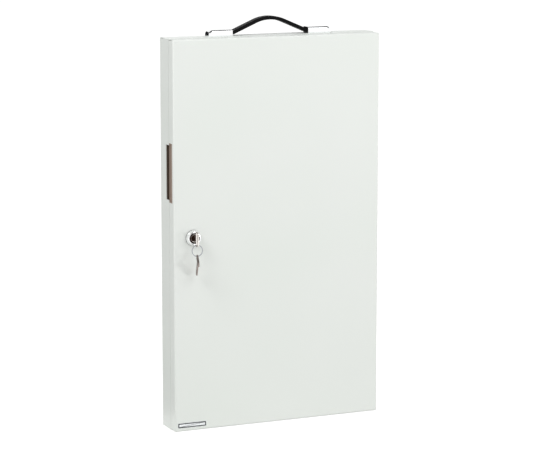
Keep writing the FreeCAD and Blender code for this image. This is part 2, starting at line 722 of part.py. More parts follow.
def door_pull():
    """Moulded grip: a shallow tray in the side opening with a lip for the fingers."""
    outer_x = -HALF_WIDTH + PULL_FIT
    floor_x = -HALF_WIDTH + PULL_RECESS
    wall_x = -HALF_WIDTH + SHEET
    front_y = FRONT_Y + PULL_FROM_FRONT + PULL_FIT
    back_y = DOOR_RIM_Y - PULL_LIP_SETBACK
    length = PULL_LENGTH - 2 * PULL_FIT
    tray = box((outer_x, floor_x + PULL_WALL), (front_y, back_y), around(PULL_CENTRE_Z, length))
    lap_front = front_y - PULL_LAP + PULL_WALL
    lap_z = around(PULL_CENTRE_Z, PULL_LENGTH + 2 * PULL_LAP)
    lap = box((wall_x, floor_x + PULL_WALL), (lap_front, back_y), lap_z)
    lip_x = (outer_x, -HALF_WIDTH + POCKET_DEPTH)
    lip = box(lip_x, (back_y - PULL_WALL, back_y), around(PULL_CENTRE_Z, POCKET_LENGTH))
    recess_z = around(PULL_CENTRE_Z, length - 2 * PULL_WALL)
    recess = box((outer_x - SHEET, floor_x), (front_y + PULL_WALL, back_y - PULL_WALL), recess_z)
    return fused([tray, lap, lip]).cut(recess).Solids[0]


def door_stiffener():
    """A folded channel spot welded to the inside of the door."""
    middle = HALF_WIDTH - STIFFENER_FROM_RIGHT
    z_span = (STIFFENER_END_GAP, CASE_HEIGHT - STIFFENER_END_GAP)
    crest_y = DOOR_INSIDE_Y + STIFFENER_DEPTH
    foot_y = DOOR_INSIDE_Y + STIFFENER_SHEET
    crest_x = around(middle, STIFFENER_WIDTH - 2 * STIFFENER_FOOT)
    space_x = around(middle, STIFFENER_WIDTH - 2 * STIFFENER_FOOT - 2 * STIFFENER_SHEET)
    feet = box(around(middle, STIFFENER_WIDTH), (DOOR_INSIDE_Y, foot_y), z_span)
    crest = box(crest_x, (DOOR_INSIDE_Y, crest_y), z_span)
    space = box(space_x, (DOOR_INSIDE_Y, crest_y - STIFFENER_SHEET), z_span)
    return fused([feet, crest]).cut(space)


def card_rail(upward):
    """A grooved strip that holds one end of the index card; upward is 1 or -1."""
    half = CARD_WIDTH / 2
    card_edge = LOCK_Z - upward * CARD_HEIGHT / 2
    groove_end = card_edge - upward * CARD_FIT
    mouth = groove_end + upward * CARD_GROOVE
    far = mouth - upward * CARD_RAIL_HEIGHT
    back_y = DOOR_INSIDE_Y + CARD_RAIL_DEPTH
    rail = box((-half, half), (DOOR_INSIDE_Y, back_y), (far, mouth))
    groove = box((-half, half), (DOOR_INSIDE_Y, back_y - CARD_RAIL_FACE), (groove_end, mouth))
    return rail.cut(groove)


def index_card():
    y = DOOR_INSIDE_Y + CARD_FIT
    half = CARD_WIDTH / 2
    return box((-half, half), (y, y + CARD_THICKNESS), around(LOCK_Z, CARD_HEIGHT))


def blank_label():
    left = -HALF_WIDTH + LABEL_FROM_LEFT
    low = LABEL_FROM_BOTTOM
    y_span = (FRONT_Y - LABEL_THICKNESS, FRONT_Y)
    plate = box((left, left + LABEL_WIDTH), y_span, (low, low + LABEL_HEIGHT))
    return plate.makeFillet(LABEL_CORNER, edges_along(plate, "y"))


def lock_body():
    """Housing of the cam lock: a tapered bezel on a round barrel."""
    bore = PLUG_RADIUS + PLUG_CLEARANCE
    face_y = FRONT_Y - BEZEL_HEIGHT
    profile = [
        (bore, BARREL_END_Y),
        (BARREL_RADIUS, BARREL_END_Y),
        (BARREL_RADIUS, FRONT_Y),
        (BEZEL_RADIUS, FRONT_Y),
        (BEZEL_RADIUS, FRONT_Y - BEZEL_RIM),
        (BEZEL_FACE_RADIUS, face_y),
        (bore + PLUG_RECESS, face_y),
        (bore, face_y + PLUG_RECESS),
    ]
    points = [point(LOCK_X + radius, y, LOCK_Z) for radius, y in profile]
    face = Part.Face(Part.makePolygon(points + [points[0]]))
    return face.revolve(lock_point(0), Y_AXIS, 360)


def lock_nut():
    corner = NUT_FLATS / math.sqrt(3)
    points = []
    for number in range(6):
        angle = math.radians(60 * number)
        x = LOCK_X + corner * math.cos(angle)
        points.append(point(x, DOOR_INSIDE_Y, LOCK_Z + corner * math.sin(angle)))
    nut = plate_from(points, Y_AXIS * NUT_THICKNESS)
    hole_end = lock_point(DOOR_INSIDE_Y + NUT_THICKNESS)
    return nut.cut(rod(BARREL_RADIUS + PLUG_CLEARANCE, lock_point(DOOR_INSIDE_Y), hole_end))


def lock_plug():
    """The turning plug, with its key slot and a square end for the cam."""
    face_y = FRONT_Y - BEZEL_HEIGHT + PLUG_RECESS
    cam_back = CAM_FRONT_Y + CAM_THICKNESS
    plug = rod(PLUG_RADIUS, lock_point(face_y), lock_point(CAM_FRONT_Y))
    square = around(LOCK_X, CAM_SQUARE)
    tang = box(square, (CAM_FRONT_Y, cam_back), around(LOCK_Z, CAM_SQUARE))
    slot_x = around(LOCK_X, KEY_THICKNESS + 2 * KEY_SLOT_CLEARANCE)
    slot_z = around(LOCK_Z, BLADE_WIDTH + 2 * KEY_SLOT_CLEARANCE)
    slot = box(slot_x, (face_y - SHEET, KEY_TIP_Y + KEY_END_GAP), slot_z)
    screw_start = CAM_FRONT_Y - CAM_SCREW_DEPTH
    screw_hole = rod(CAM_SCREW_RADIUS + PLUG_CLEARANCE, lock_point(screw_start), lock_point(cam_back))
    return plug.fuse(tang).removeSplitter().cut(slot).cut(screw_hole).Solids[0]


def lock_cam():
    """Cam with its arm straight up, which is the unlocked place."""
    back_y = CAM_FRONT_Y + CAM_THICKNESS
    end_z = LOCK_Z + CAM_REACH - CAM_WIDTH / 2
    hub = rod(CAM_HUB_RADIUS, lock_point(CAM_FRONT_Y), lock_point(back_y))
    arm = box(around(LOCK_X, CAM_WIDTH), (CAM_FRONT_Y, back_y), (LOCK_Z, end_z))
    tip = rod(CAM_WIDTH / 2, point(LOCK_X, CAM_FRONT_Y, end_z), point(LOCK_X, back_y, end_z))
    hole_side = CAM_SQUARE + 2 * CAM_SQUARE_FIT
    hole = box(around(LOCK_X, hole_side), (CAM_FRONT_Y, back_y), around(LOCK_Z, hole_side))
    return fused([hub, arm, tip]).cut(hole)


def cam_screw():
    seat = CAM_FRONT_Y + CAM_THICKNESS
    head = rod(CAM_SCREW_HEAD_RADIUS, lock_point(seat), lock_point(seat + CAM_SCREW_HEAD_HEIGHT))
    shank = rod(CAM_SCREW_RADIUS, lock_point(CAM_FRONT_Y - CAM_SCREW_DEPTH), lock_point(seat))
    return head.fuse(shank).removeSplitter()


def key_shape():
    """A key along +Y with the outer end of its bow at the origin."""
    x = -KEY_THICKNESS / 2
    x_span = (x, x + KEY_THICKNESS)
    bow = box(x_span, (0, BOW_LENGTH), (-BOW_HEIGHT / 2, BOW_HEIGHT / 2))
    bow = bow.makeFillet(BOW_CORNER, edges_along(bow, "x"))
    tip_y = BOW_LENGTH + BLADE_LENGTH
    half = BLADE_WIDTH / 2
    shoulder = BOW_LENGTH - SHEET
    blade = plate_from([
        point(x, shoulder, -half),
        point(x, tip_y - BLADE_TIP, -half),
        point(x, tip_y, -half + BLADE_TIP),
        point(x, tip_y, half - BLADE_TIP),
        point(x, tip_y - BLADE_TIP, half),
        point(x, shoulder, half),
    ], X_AXIS * KEY_THICKNESS)
    for number in range(BIT_COUNT):
        y = tip_y - BLADE_TIP - BIT_PITCH * (number + 0.8)
        depth = BIT_DEPTH * (1 - 0.4 * (number % 2))
        cut = plate_from([
            point(x, y - depth - 0.5, -half - 0.5),
            point(x, y, -half + depth),
            point(x, y + depth + 0.5, -half - 0.5),
        ], X_AXIS * KEY_THICKNESS)
        blade = blade.cut(cut)
    z_span = (-BOW_HOLE_REACH, BOW_HOLE_REACH)
    hole = box(x_span, around(BOW_HOLE_MIDDLE, BOW_HOLE_WIDTH), z_span)
    for z in z_span:
        start = point(x, BOW_HOLE_MIDDLE, z)
        hole = hole.fuse(rod(BOW_HOLE_WIDTH / 2, start, start + X_AXIS * KEY_THICKNESS))
    return fused([bow, blade]).cut(hole).Solids[0]


def key_in_lock():
    key = key_shape()
    key.translate(point(LOCK_X, KEY_END_Y, LOCK_Z))
    return key


def key_ring():
    centre = point(LOCK_X, RING_Y, RING_TOP_Z - RING_RADIUS)
    return Part.makeTorus(RING_RADIUS, RING_WIRE_RADIUS, centre, Y_AXIS)


def spare_key():
    """It hangs by one end of its bow, so its weight lies under the ring."""
    key = key_shape()
    key.translate(point(0, -BOW_HOLE_MIDDLE, -BOW_HOLE_REACH))
    key.rotate(point(0, 0, 0), X_AXIS, SPARE_TILT - 90)
    key.rotate(point(0, 0, 0), Z_AXIS, -SPARE_TWIST)
    key.translate(point(LOCK_X, RING_Y, SPARE_HOLE_Z))
    return key


def save_case():
    save(body_shell(), "body_shell")
    save(front_frame(), "front_frame")
    save(strike_lip(), "strike_lip")
    save(finger_pocket(), "finger_pocket")
    for number, rail_z in enumerate(rail_heights(), start=1):
        save(hook_rail(rail_z), "hook_rail_%02d" % number)
    save(number_strips(), "number_strips")
    save(rail_rivets(), "rail_rivets")
    save(door_buffers(), "door_buffers")


def save_hinges():
    places = {"lower": HINGE_FROM_END, "upper": CASE_HEIGHT - HINGE_FROM_END}
    for name, middle_z in places.items():
        spans = knuckle_spans(middle_z)
        save(hinge_leaf(middle_z, 1, spans[0::2]), "hinge_leaf_case_" + name)
        save(hinge_leaf(middle_z, -1, spans[1::2]), "hinge_leaf_door_" + name)
        save(hinge_pin(middle_z), "hinge_pin_" + name)


def save_handle():
    cap = handle_cap()
    base = handle_base()
    save(cap, "handle_cap_right")
    save(mirrored(cap), "handle_cap_left")
    save(base, "handle_base_right")
    save(mirrored(base), "handle_base_left")
    save(backing_plate(), "handle_backing_plate")
    save(handle_screws(), "handle_screws")
    strap, core = strap_pieces()
    save(strap, "handle_strap")
    save(core, "strap_core")


def save_door():
    save(door_shell(), "door_shell")
    save(door_pull(), "door_pull")
    save(door_stiffener(), "door_stiffener")
    save(card_rail(1), "card_rail_lower")
    save(card_rail(-1), "card_rail_upper")
    save(index_card(), "index_card")
    save(blank_label(), "blank_label")


def save_lock():
    save(lock_body(), "lock_body")
    save(lock_nut(), "lock_nut")
    save(lock_plug(), "lock_plug")
    save(lock_cam(), "lock_cam")
    save(cam_screw(), "cam_screw")
    save(key_in_lock(), "key")
    save(key_ring(), "key_ring")
    save(spare_key(), "spare_key")


os.makedirs("parts", exist_ok=True)
save_case()
save_hinges()
save_handle()
save_door()
save_lock()
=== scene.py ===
"""Looks of a slim sheet-steel key cabinet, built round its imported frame."""

import logging
import math
from dataclasses import dataclass
from enum import Enum
from typing import Callable, Iterable, Mapping, Optional, Sequence

import bmesh
import bpy
from mathutils import Matrix, Vector


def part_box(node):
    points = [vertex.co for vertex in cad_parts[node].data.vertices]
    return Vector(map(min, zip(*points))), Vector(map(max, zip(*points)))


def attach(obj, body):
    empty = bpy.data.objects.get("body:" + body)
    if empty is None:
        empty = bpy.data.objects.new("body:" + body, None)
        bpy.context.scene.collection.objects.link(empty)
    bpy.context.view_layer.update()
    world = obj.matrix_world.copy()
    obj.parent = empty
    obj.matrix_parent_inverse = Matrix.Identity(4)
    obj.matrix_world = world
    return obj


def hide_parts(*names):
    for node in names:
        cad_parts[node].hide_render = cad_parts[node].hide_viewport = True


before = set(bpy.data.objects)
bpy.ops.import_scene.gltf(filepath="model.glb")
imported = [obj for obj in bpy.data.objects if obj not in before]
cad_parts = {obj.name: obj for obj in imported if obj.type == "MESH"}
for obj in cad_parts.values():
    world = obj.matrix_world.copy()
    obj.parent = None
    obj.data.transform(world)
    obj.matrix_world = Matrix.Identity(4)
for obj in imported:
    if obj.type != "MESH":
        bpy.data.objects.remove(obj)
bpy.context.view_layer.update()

LOG = logging.getLogger("key_cabinet")
SMOOTH_ANGLE = math.radians(32)
MM = 0.001
# In mm: within which two places are the same, how far a cutting solid reaches past the
# face that it opens, and what a full round stays short of so that its strips keep a width.
TOLERANCE = 1e-4
OVERCUT = 1.0
HAIR = 0.01
# In mm: from outside the left wall to well inside it, the lock's axis along X and Z, and
# the front of the door along Y.
SIDE_CUT = (-153.0, -149.0)
LOCK = (-123.5, 265.0)
DOOR_FRONT = -24.0
# The cosine past which a face counts as facing along an axis.
FACING = 0.99
# Where nearly all the values of a noise pattern lie.
NOISE = (0.3, 0.7)

# A low and a high value, two sizes or places that belong together, and a place in the frame.
Span = tuple[float, float]
Pair = tuple[float, float]
Point = tuple[float, float, float]
Solid = bmesh.types.BMesh
Edges = list[bmesh.types.BMEdge]


class Axis(Enum):
    """An axis of the frame, with its place in a coordinate."""

    X = 0
    Y = 1
    Z = 2

    def unit(self) -> Vector:
        """Returns the axis as a direction."""
        return Vector([float(axis is self) for axis in Axis])


class Join(Enum):
    """How one solid meets another."""

    CUT = "DIFFERENCE"
    WELD = "UNION"


# ---------------------------------------------------------------- materials


def linear(hex_colour: str) -> tuple[float, float, float, float]:
    """Turns an sRGB hex colour into linear values.

    Args:
        hex_colour: six hex digits.

    Returns:
        Red, green and blue, with an alpha of 1.
    """
    parts = [int(hex_colour[i:i + 2], 16) / 255 for i in (0, 2, 4)]
    bent = [p / 12.92 if p <= 0.04045 else ((p + 0.055) / 1.055) ** 2.4 for p in parts]
    return (bent[0], bent[1], bent[2], 1.0)


def per_metre(size_mm: float) -> float:
    """Returns the texture scale at which one blot or cell is about size_mm across."""
    return 1 / (size_mm * MM)


def between(dark: str, light: str) -> dict:
    """Returns the settings of a mix that runs from one hex colour to another."""
    return {"data_type": "RGBA", 6: linear(dark), 7: linear(light)}


def spread(span: Span) -> dict:
    """Returns the settings of a range that spreads a noise pattern over a span."""
    return {"From Min": NOISE[0], "From Max": NOISE[1], "To Min": span[0], "To Max": span[1]}


def emptied(owner: bpy.types.ID) -> bpy.types.NodeTree:
    """Gives a material or a world an empty node tree.

    Args:
        owner: the material or the world.

    Returns:
        Its node tree.
    """
    owner.use_nodes = True
    owner.node_tree.nodes.clear()
    return owner.node_tree


def add_node(
    tree: bpy.types.NodeTree,
    kind: str,
    settings: Optional[Mapping] = None,
    links: Optional[Mapping] = None,
) -> bpy.types.Node:
    """Adds one shader node.

    Args:
        tree: the node tree it goes into.
        kind: the node's type.
        settings: values by input name, input number or node property.
        links: the output sockets that feed it, by input name or number.

    Returns:
        The new node.
    """
    node = tree.nodes.new(kind)
    for key, value in (settings or {}).items():
        if isinstance(key, int) or key in node.inputs:
            node.inputs[key].default_value = value
        else:
            setattr(node, key, value)
    for key, socket in (links or {}).items():
        tree.links.new(socket, node.inputs[key])
    return node


class Started:
    """A material with its shader in place, ready for a pattern."""

    def __init__(self, name: str, settings: Mapping) -> None:
        """Makes the material.

        Args:
            name: the material's name.
            settings: the shader's own values.
        """
        self.material = bpy.data.materials.new(name)
        self.tree = emptied(self.material)
        self.shader = add_node(self.tree, "ShaderNodeBsdfPrincipled", settings)
        add_node(self.tree, "ShaderNodeOutputMaterial", None, {"Surface": self.shader.outputs[0]})
        coordinates = add_node(self.tree, "ShaderNodeTexCoord")
        self.place = coordinates.outputs["Object"]
        self.flat = coordinates.outputs["UV"]

    def add(self, kind: str, settings: Mapping, links: Mapping) -> bpy.types.Node:
        """Adds a node to this material."""
        return add_node(self.tree, kind, settings, links)

    def feed(self, name: str, socket: bpy.types.NodeSocket) -> None:
        """Links an output to one of the shader's inputs."""
        self.tree.links.new(socket, self.shader.inputs[name])


@dataclass(frozen=True)
class PowderCoat:
    """Baked powder on sheet steel: even pale colour, fine orange peel, soft gloss."""

    light: str = "EAECE9"
    dark: str = "E4E9E3"
    peel_mm: float = 1.4
    sheet_wave_mm: float = 160.0
    patch_mm: float = 45.0
    gloss: Span = (0.36, 0.46)

    def make(self, name: str) -> bpy.types.Material:
        """Makes the material: slow waves of thin sheet under the powder's peel.

        Args:
            name: the material's name.

        Returns:
            The material.
        """
        made = Started(name, {"Specular IOR Level": 0.4})
        wave = made.add("ShaderNodeTexNoise",
                        {"Scale": per_metre(self.sheet_wave_mm), "Detail": 1.0},
                        {"Vector": made.place}).outputs["Fac"]
        tone = made.add("ShaderNodeMix", between(self.dark, self.light), {0: wave})
        made.feed("Base Color", tone.outputs[2])
        patches = made.add("ShaderNodeTexNoise", {"Scale": per_metre(self.patch_mm), "Detail": 3.0},
                           {"Vector": made.place}).outputs["Fac"]
        gloss = made.add("ShaderNodeMapRange", spread(self.gloss), {"Value": patches})
        made.feed("Roughness", gloss.outputs[0])
        peel = made.add("ShaderNodeTexNoise", {"Scale": per_metre(self.peel_mm), "Detail": 2.0},
                        {"Vector": made.place}).outputs["Fac"]
        sheet = made.add("ShaderNodeBump", {"Distance": 0.5 * MM, "Strength": 0.4}, {"Height": wave})
        coat = made.add("ShaderNodeBump", {"Distance": 0.06 * MM, "Strength": 0.16},
                        {"Height": peel, "Normal": sheet.outputs[0]})
        made.feed("Normal", coat.outputs[0])
        return made.material


@dataclass(frozen=True)
class Plated:
    """Polished plate such as chrome or nickel: a mirror with a faint polishing haze."""

    colour: str
    haze: Span = (0.05, 0.10)
    wave_mm: float = 14.0
    patch_mm: float = 5.0

    def make(self, name: str) -> bpy.types.Material:
        """Makes the material: haze in patches and the slight wave of polished metal.

        Args:
            name: the material's name.

        Returns:
            The material.
        """
        made = Started(name, {"Metallic": 1.0, "Base Color": linear(self.colour)})
        patches = made.add("ShaderNodeTexNoise", {"Scale": per_metre(self.patch_mm), "Detail": 4.0},
                           {"Vector": made.place}).outputs["Fac"]
        haze = made.add("ShaderNodeMapRange", spread(self.haze), {"Value": patches})
        made.feed("Roughness", haze.outputs[0])
        wave = made.add("ShaderNodeTexNoise", {"Scale": per_metre(self.wave_mm), "Detail": 1.0},
                        {"Vector": made.place}).outputs["Fac"]
        relief = made.add("ShaderNodeBump", {"Distance": 0.03 * MM, "Strength": 0.5}, {"Height": wave})
        made.feed("Normal", relief.outputs[0])
        return made.material


@dataclass(frozen=True)
class DrawnMetal:
    """Rolled, brushed or turned metal: fine lines along one axis break its reflections."""

    dark: str
    light: str
    along: Axis
    line_mm: float = 0.35
    gloss: Span = (0.28, 0.42)
    drawn: float = 0.97

    def make(self, name: str) -> bpy.types.Material:
        """Makes the material, its lines drawn as coarse as they need to show.

        Args:
            name: the material's name.

        Returns:
            The material.
        """
        made = Started(name, {"Metallic": 1.0})
        stretch = Vector((1, 1, 1)) - self.drawn * self.along.unit()
        place = made.add("ShaderNodeMapping", {"Scale": stretch}, {"Vector": made.place}).outputs[0]
        lines = made.add("ShaderNodeTexNoise", {"Scale": per_metre(self.line_mm), "Detail": 3.0},
                         {"Vector": place}).outputs["Fac"]
        tone = made.add("ShaderNodeMix", between(self.dark, self.light), {0: lines})
        made.feed("Base Color", tone.outputs[2])
        gloss = made.add("ShaderNodeMapRange", spread(self.gloss), {"Value": lines})
        made.feed("Roughness", gloss.outputs[0])
        relief = made.add("ShaderNodeBump", {"Distance": 0.02 * MM, "Strength": 0.25}, {"Height": lines})
        made.feed("Normal", relief.outputs[0])
        return made.material


@dataclass(frozen=True)
class MouldedPlastic:
    """Moulded plastic or rubber: fine grain from the mould, soft sheen, slow flow marks."""

    dark: str
    light: str
    grain_mm: float = 0.5
    gloss: Span = (0.38, 0.5)
    shine: float = 0.5
    flow_mm: float = 14.0
    flow_stretch: float = 0.3

    def make(self, name: str) -> bpy.types.Material:
        """Makes the material: grain in the relief, flow marks in the colour.

        Args:
            name: the material's name.

        Returns:
            The material.
        """
        made = Started(name, {"IOR": 1.5, "Specular IOR Level": self.shine})
        place = made.add("ShaderNodeMapping", {"Scale": (1, 1, self.flow_stretch)},
                         {"Vector": made.place}).outputs[0]
        flow = made.add("ShaderNodeTexNoise", {"Scale": per_metre(self.flow_mm), "Detail": 3.0},
                        {"Vector": place}).outputs["Fac"]
        tone = made.add("ShaderNodeMix", between(self.dark, self.light), {0: flow})
        made.feed("Base Color", tone.outputs[2])
        gloss = made.add("ShaderNodeMapRange", spread(self.gloss), {"Value": flow})
        made.feed("Roughness", gloss.outputs[0])
        grain = made.add("ShaderNodeTexNoise", {"Scale": per_metre(self.grain_mm), "Detail": 2.0},
                         {"Vector": made.place}).outputs["Fac"]
        relief = made.add("ShaderNodeBump", {"Distance": 0.03 * MM, "Strength": 0.35}, {"Height": grain})
        made.feed("Normal", relief.outputs[0])
        return made.material


@dataclass(frozen=True)
class GrainedVinyl:
    """Embossed vinyl strap cover: leather-like pebbles, their creases darkened as painted shade."""

    painted_crease_shade: str = "060607"
    pebble: str = "232225"
    pebble_mm: float = 1.25
    wear_mm: float = 9.0
    crease_share: float = 0.2
    least_tone: float = 0.35
    gloss: Span = (0.62, 0.42)

    def make(self, name: str) -> bpy.types.Material:
        """Makes the material: pebbles follow the strap's own map, so they bend with it.

        Args:
            name: the material's name.

        Returns:
            The material.
        """
        made = Started(name, {"IOR": 1.48, "Specular IOR Level": 0.12})
        cell = made.add("ShaderNodeTexVoronoi",
                        {"feature": "DISTANCE_TO_EDGE", "Scale": per_metre(self.pebble_mm)},
                        {"Vector": made.flat}).outputs["Distance"]
        rise = made.add("ShaderNodeMapRange", {"From Min": 0.0, "From Max": self.crease_share},
                        {"Value": cell}).outputs[0]
        worn = made.add("ShaderNodeTexNoise", {"Scale": per_metre(self.wear_mm), "Detail": 3.0},
                        {"Vector": made.flat}).outputs["Fac"]
        tone = made.add("ShaderNodeMapRange", spread((self.least_tone, 1.0)), {"Value": worn})
        share = made.add("ShaderNodeMath", {"operation": "MULTIPLY"}, {0: rise, 1: tone.outputs[0]})
        # Painted shade: the colour darkens towards each crease; the noise varies the pebbles' tone as wear.
        colour = made.add("ShaderNodeMix", between(self.painted_crease_shade, self.pebble), {0: share.outputs[0]})
        made.feed("Base Color", colour.outputs[2])
        gloss = made.add("ShaderNodeMapRange", {"To Min": self.gloss[0], "To Max": self.gloss[1]},
                         {"Value": rise})
        made.feed("Roughness", gloss.outputs[0])
        relief = made.add("ShaderNodeBump", {"Distance": 0.12 * MM, "Strength": 0.6}, {"Height": rise})
        made.feed("Normal", relief.outputs[0])
        return made.material


@dataclass(frozen=True)
class RuledCard:
    """Index card: matt board with thin printed rules and two columns for the keys."""

    paper: str = "F1F0EA"
    rule: str = "8A9CB0"
    row_mm: float = 8.0
    column_mm: float = 45.0
    row_rule: float = 0.06
    column_rule: float = 0.012
    fibre_mm: float = 0.7

    def make(self, name: str) -> bpy.types.Material:
        """Makes the material: rules at a real spacing and a trace of paper fibre.

        Args:
            name: the material's name.

        Returns:
            The material.
        """
        made = Started(name, {"Roughness": 0.75, "IOR": 1.45})
        place = made.add("ShaderNodeSeparateXYZ", {}, {0: made.place}).outputs
        inks = []
        for socket, pitch, share in ((place["Z"], self.row_mm, self.row_rule),
                                     (place["X"], self.column_mm, self.column_rule)):
            turns = made.add("ShaderNodeMath", {"operation": "MULTIPLY", 1: per_metre(pitch)}, {0: socket})
            part = made.add("ShaderNodeMath", {"operation": "FRACT"}, {0: turns.outputs[0]})
            inks.append(made.add("ShaderNodeMath", {"operation": "GREATER_THAN", 1: share},
                                 {0: part.outputs[0]}).outputs[0])
        bare = made.add("ShaderNodeMath", {"operation": "MULTIPLY"}, {0: inks[0], 1: inks[1]})
        tone = made.add("ShaderNodeMix", between(self.rule, self.paper), {0: bare.outputs[0]})
        made.feed("Base Color", tone.outputs[2])
        fibre = made.add("ShaderNodeTexNoise", {"Scale": per_metre(self.fibre_mm), "Detail": 3.0},
                         {"Vector": made.place}).outputs["Fac"]
        relief = made.add("ShaderNodeBump", {"Distance": 0.02 * MM, "Strength": 0.25}, {"Height": fibre})
        made.feed("Normal", relief.outputs[0])
        return made.material


class Palette:
    """Every material of the cabinet, made once and shared."""

    def __init__(self) -> None:
        """Makes the materials."""
        # Both trays, the rails and the leaves: an even pale skin with a soft, broken shine.
        self.paint = PowderCoat().make("powder_coated_steel")
        # Caps and bezel: a clear mirror that shows the room as dark lines.
        self.chrome = Plated("FAFBFC").make("polished_chrome")
        # The plug's pressed face: plate coloured dark brown as a painted reflection of the dark room, a
        # little cloudy.
        self.plug = Plated("3A2E26", haze=(0.08, 0.16), wave_mm=6.0).make("plug_face_painted_dark_reflection")
        # The key in the lock: its stamped edges in bright nickel as a painted highlight, its flat sides in
        # a darker, duller nickel as painted shade; the spare key's sides share the dull nickel.
        self.highlight_nickel = Plated("DCD8D3", haze=(0.12, 0.2), wave_mm=5.0).make("nickel_key_edge_painted_highlight")
        self.dull_nickel = Plated("9D8F8B", haze=(0.28, 0.4), wave_mm=5.0).make("dull_nickel_key_sides")
        # The spare key's edges: fine lines from the die, in a darker nickel as painted shade, with no clear
        # reflection.
        self.shaded_stamped_edge = DrawnMetal("857A75", "978C87", Axis.X, line_mm=0.3).make("stamped_nickel_edge_painted_shade")
        # Rings of the bezel: chrome with turned lines, coloured darker as painted shade at the bezel's
        # outer rim and round its bore.
        self.shaded_chrome = DrawnMetal("6F6E6E", "8A8988", Axis.Y, line_mm=0.3).make("chrome_with_painted_shade")
        # Nut, cam and backing plate: a flat blue-grey with rolling lines.
        self.zinc = DrawnMetal("9EA2A6", "BEC2C6", Axis.X).make("zinc_plated_steel")
        # Pins, rivets, screws, spring strip and ring wire: bare drawn steel, a little darker.
        self.steel = DrawnMetal("8D9094", "AEB1B5", Axis.Z).make("bright_steel")
        # The bare plate: pale metal brushed along its length.
        self.plate = DrawnMetal("C9CCCF", "DEE0E2", Axis.X).make("brushed_aluminium")
        # Finger pull: matt moulded brown. The cup behind it: the same plastic in a darker brown, painted
        # shade for its deep recess.
        self.brown = MouldedPlastic("96857A", "A39286").make("brown_abs")
        self.shade_brown = MouldedPlastic("4E4034", "5C4D3F").make("brown_abs_painted_shade")
        # Pads under the caps: plain black with a soft sheen.
        self.black = MouldedPlastic("151515", "1F1F20").make("black_abs")
        # Number strips and card rails: warm white, smooth.
        self.white = MouldedPlastic("E2E2DD", "ECECE8").make("white_pvc_strip")
        # The strap's pressed edges: black, nearly without shine.
        edge = MouldedPlastic("0B0B0C", "121213", grain_mm=0.6, gloss=(0.45, 0.6), shine=0.06)
        self.strap_edge = edge.make("black_vinyl_edge")
        # Buffers: dull soft rubber.
        rubber = MouldedPlastic("17181A", "26282A", grain_mm=0.6, gloss=(0.7, 0.85))
        self.rubber = rubber.make("buffer_rubber")
        # Printed numbers and the plate's line: matt blue-black.
        ink = MouldedPlastic("1B1D20", "2B2E32", grain_mm=0.3, gloss=(0.55, 0.65))
        self.ink = ink.make("printed_ink")
        # The strap's two faces: small pebbles between creases darkened as painted shade, their tone varied
        # as wear.
        self.vinyl = GrainedVinyl().make("grained_vinyl")
        # The index card inside the door: warm white with thin blue-grey rules.
        self.card = RuledCard().make("ruled_card")


# ---------------------------------------------------------------- shapes, in mm


def block(x: Span, y: Span, z: Span) -> Solid:
    """Makes a box between two values on each axis.

    Args:
        x: its span along X.
        y: its span along Y.
        z: its span along Z.

    Returns:
        The box.
    """
    bm = bmesh.new()
    bmesh.ops.create_cube(bm, size=1.0)
    bmesh.ops.scale(bm, vec=[high - low for low, high in (x, y, z)], verts=bm.verts)
    bmesh.ops.translate(bm, vec=[(low + high) / 2 for low, high in (x, y, z)], verts=bm.verts)
    return bm


def rod(radius: float, start: Point, end: Point, steps: int = 48) -> Solid:
    """Makes a closed cylinder from one point to another.

    Args:
        radius: its radius.
        start: the middle of one end.
        end: the middle of the other end.
        steps: how many strips go round.

    Returns:
        The cylinder.
    """
    bm = bmesh.new()
    run = Vector(end) - Vector(start)
    turn = Vector((0, 0, 1)).rotation_difference(run).to_matrix().to_4x4()
    place = Matrix.Translation((Vector(start) + Vector(end)) / 2) @ turn
    bmesh.ops.create_cone(bm, cap_ends=True, segments=steps, radius1=radius, radius2=radius,
                          depth=run.length, matrix=place)
    return bm


def around(middle: float, length: float) -> Span:
    """Returns the span of a length round its middle."""
    return (middle - length / 2, middle + length / 2)


def ordered(first: float, second: float) -> Span:
    """Returns two values as a span, the lower one first."""
    return (min(first, second), max(first, second))


def placed(bm: Solid, turn: Matrix, place: Point) -> Solid:
    """Turns a solid about the origin and then moves it.

    Args:
        bm: the solid.
        turn: its rotation.
        place: where the origin goes.

    Returns:
        The same solid.
    """
    bmesh.ops.rotate(bm, cent=(0, 0, 0), matrix=turn, verts=bm.verts)
    bmesh.ops.translate(bm, vec=place, verts=bm.verts)
    return bm


def edges_on(bm: Solid, axis: Axis, value: float) -> Edges:
    """Returns the edges that lie in a plane across an axis."""
    i = axis.value
    return [e for e in bm.edges if all(abs(v.co[i] - value) < TOLERANCE for v in e.verts)]


def edges_along(bm: Solid, axis: Axis, at: Optional[Mapping[Axis, float]] = None) -> Edges:
    """Finds the edges that run along an axis.

    Args:
        bm: the solid.
        axis: the axis that they run along.
        at: where they lie on other axes, if only those edges are wanted.

    Returns:
        The edges, in the solid's own order.
    """
    found = []
    for edge in bm.edges:
        first, second = (vert.co for vert in edge.verts)
        if abs(abs(first[axis.value] - second[axis.value]) - edge.calc_length()) >= TOLERANCE:
            continue
        if all(abs(first[other.value] - value) < TOLERANCE for other, value in (at or {}).items()):
            found.append(edge)
    return found


def sharp_edges(bm: Solid, angle: float = 50.0) -> Edges:
    """Finds the outward edges of a solid that turn sharply.

    Args:
        bm: the solid.
        angle: the least turn in degrees.

    Returns:
        The edges.
    """
    bm.normal_update()
    limit = math.radians(angle)
    return [e for e in bm.edges if len(e.link_faces) == 2 and e.calc_face_angle_signed(0) > limit]


def round_edges(bm: Solid, edges: Iterable[bmesh.types.BMEdge], radius: float, segments: int = 3) -> Solid:
    """Rounds edges of a solid.

    Args:
        bm: the solid.
        edges: the edges to round.
        radius: the radius in mm.
        segments: how many strips make the round.

    Returns:
        The same solid.
    """
    bmesh.ops.bevel(bm, geom=list(edges), offset=radius, offset_type="OFFSET", affect="EDGES",
                    segments=segments, profile=0.5, material=-1, clamp_overlap=True)
    return bm


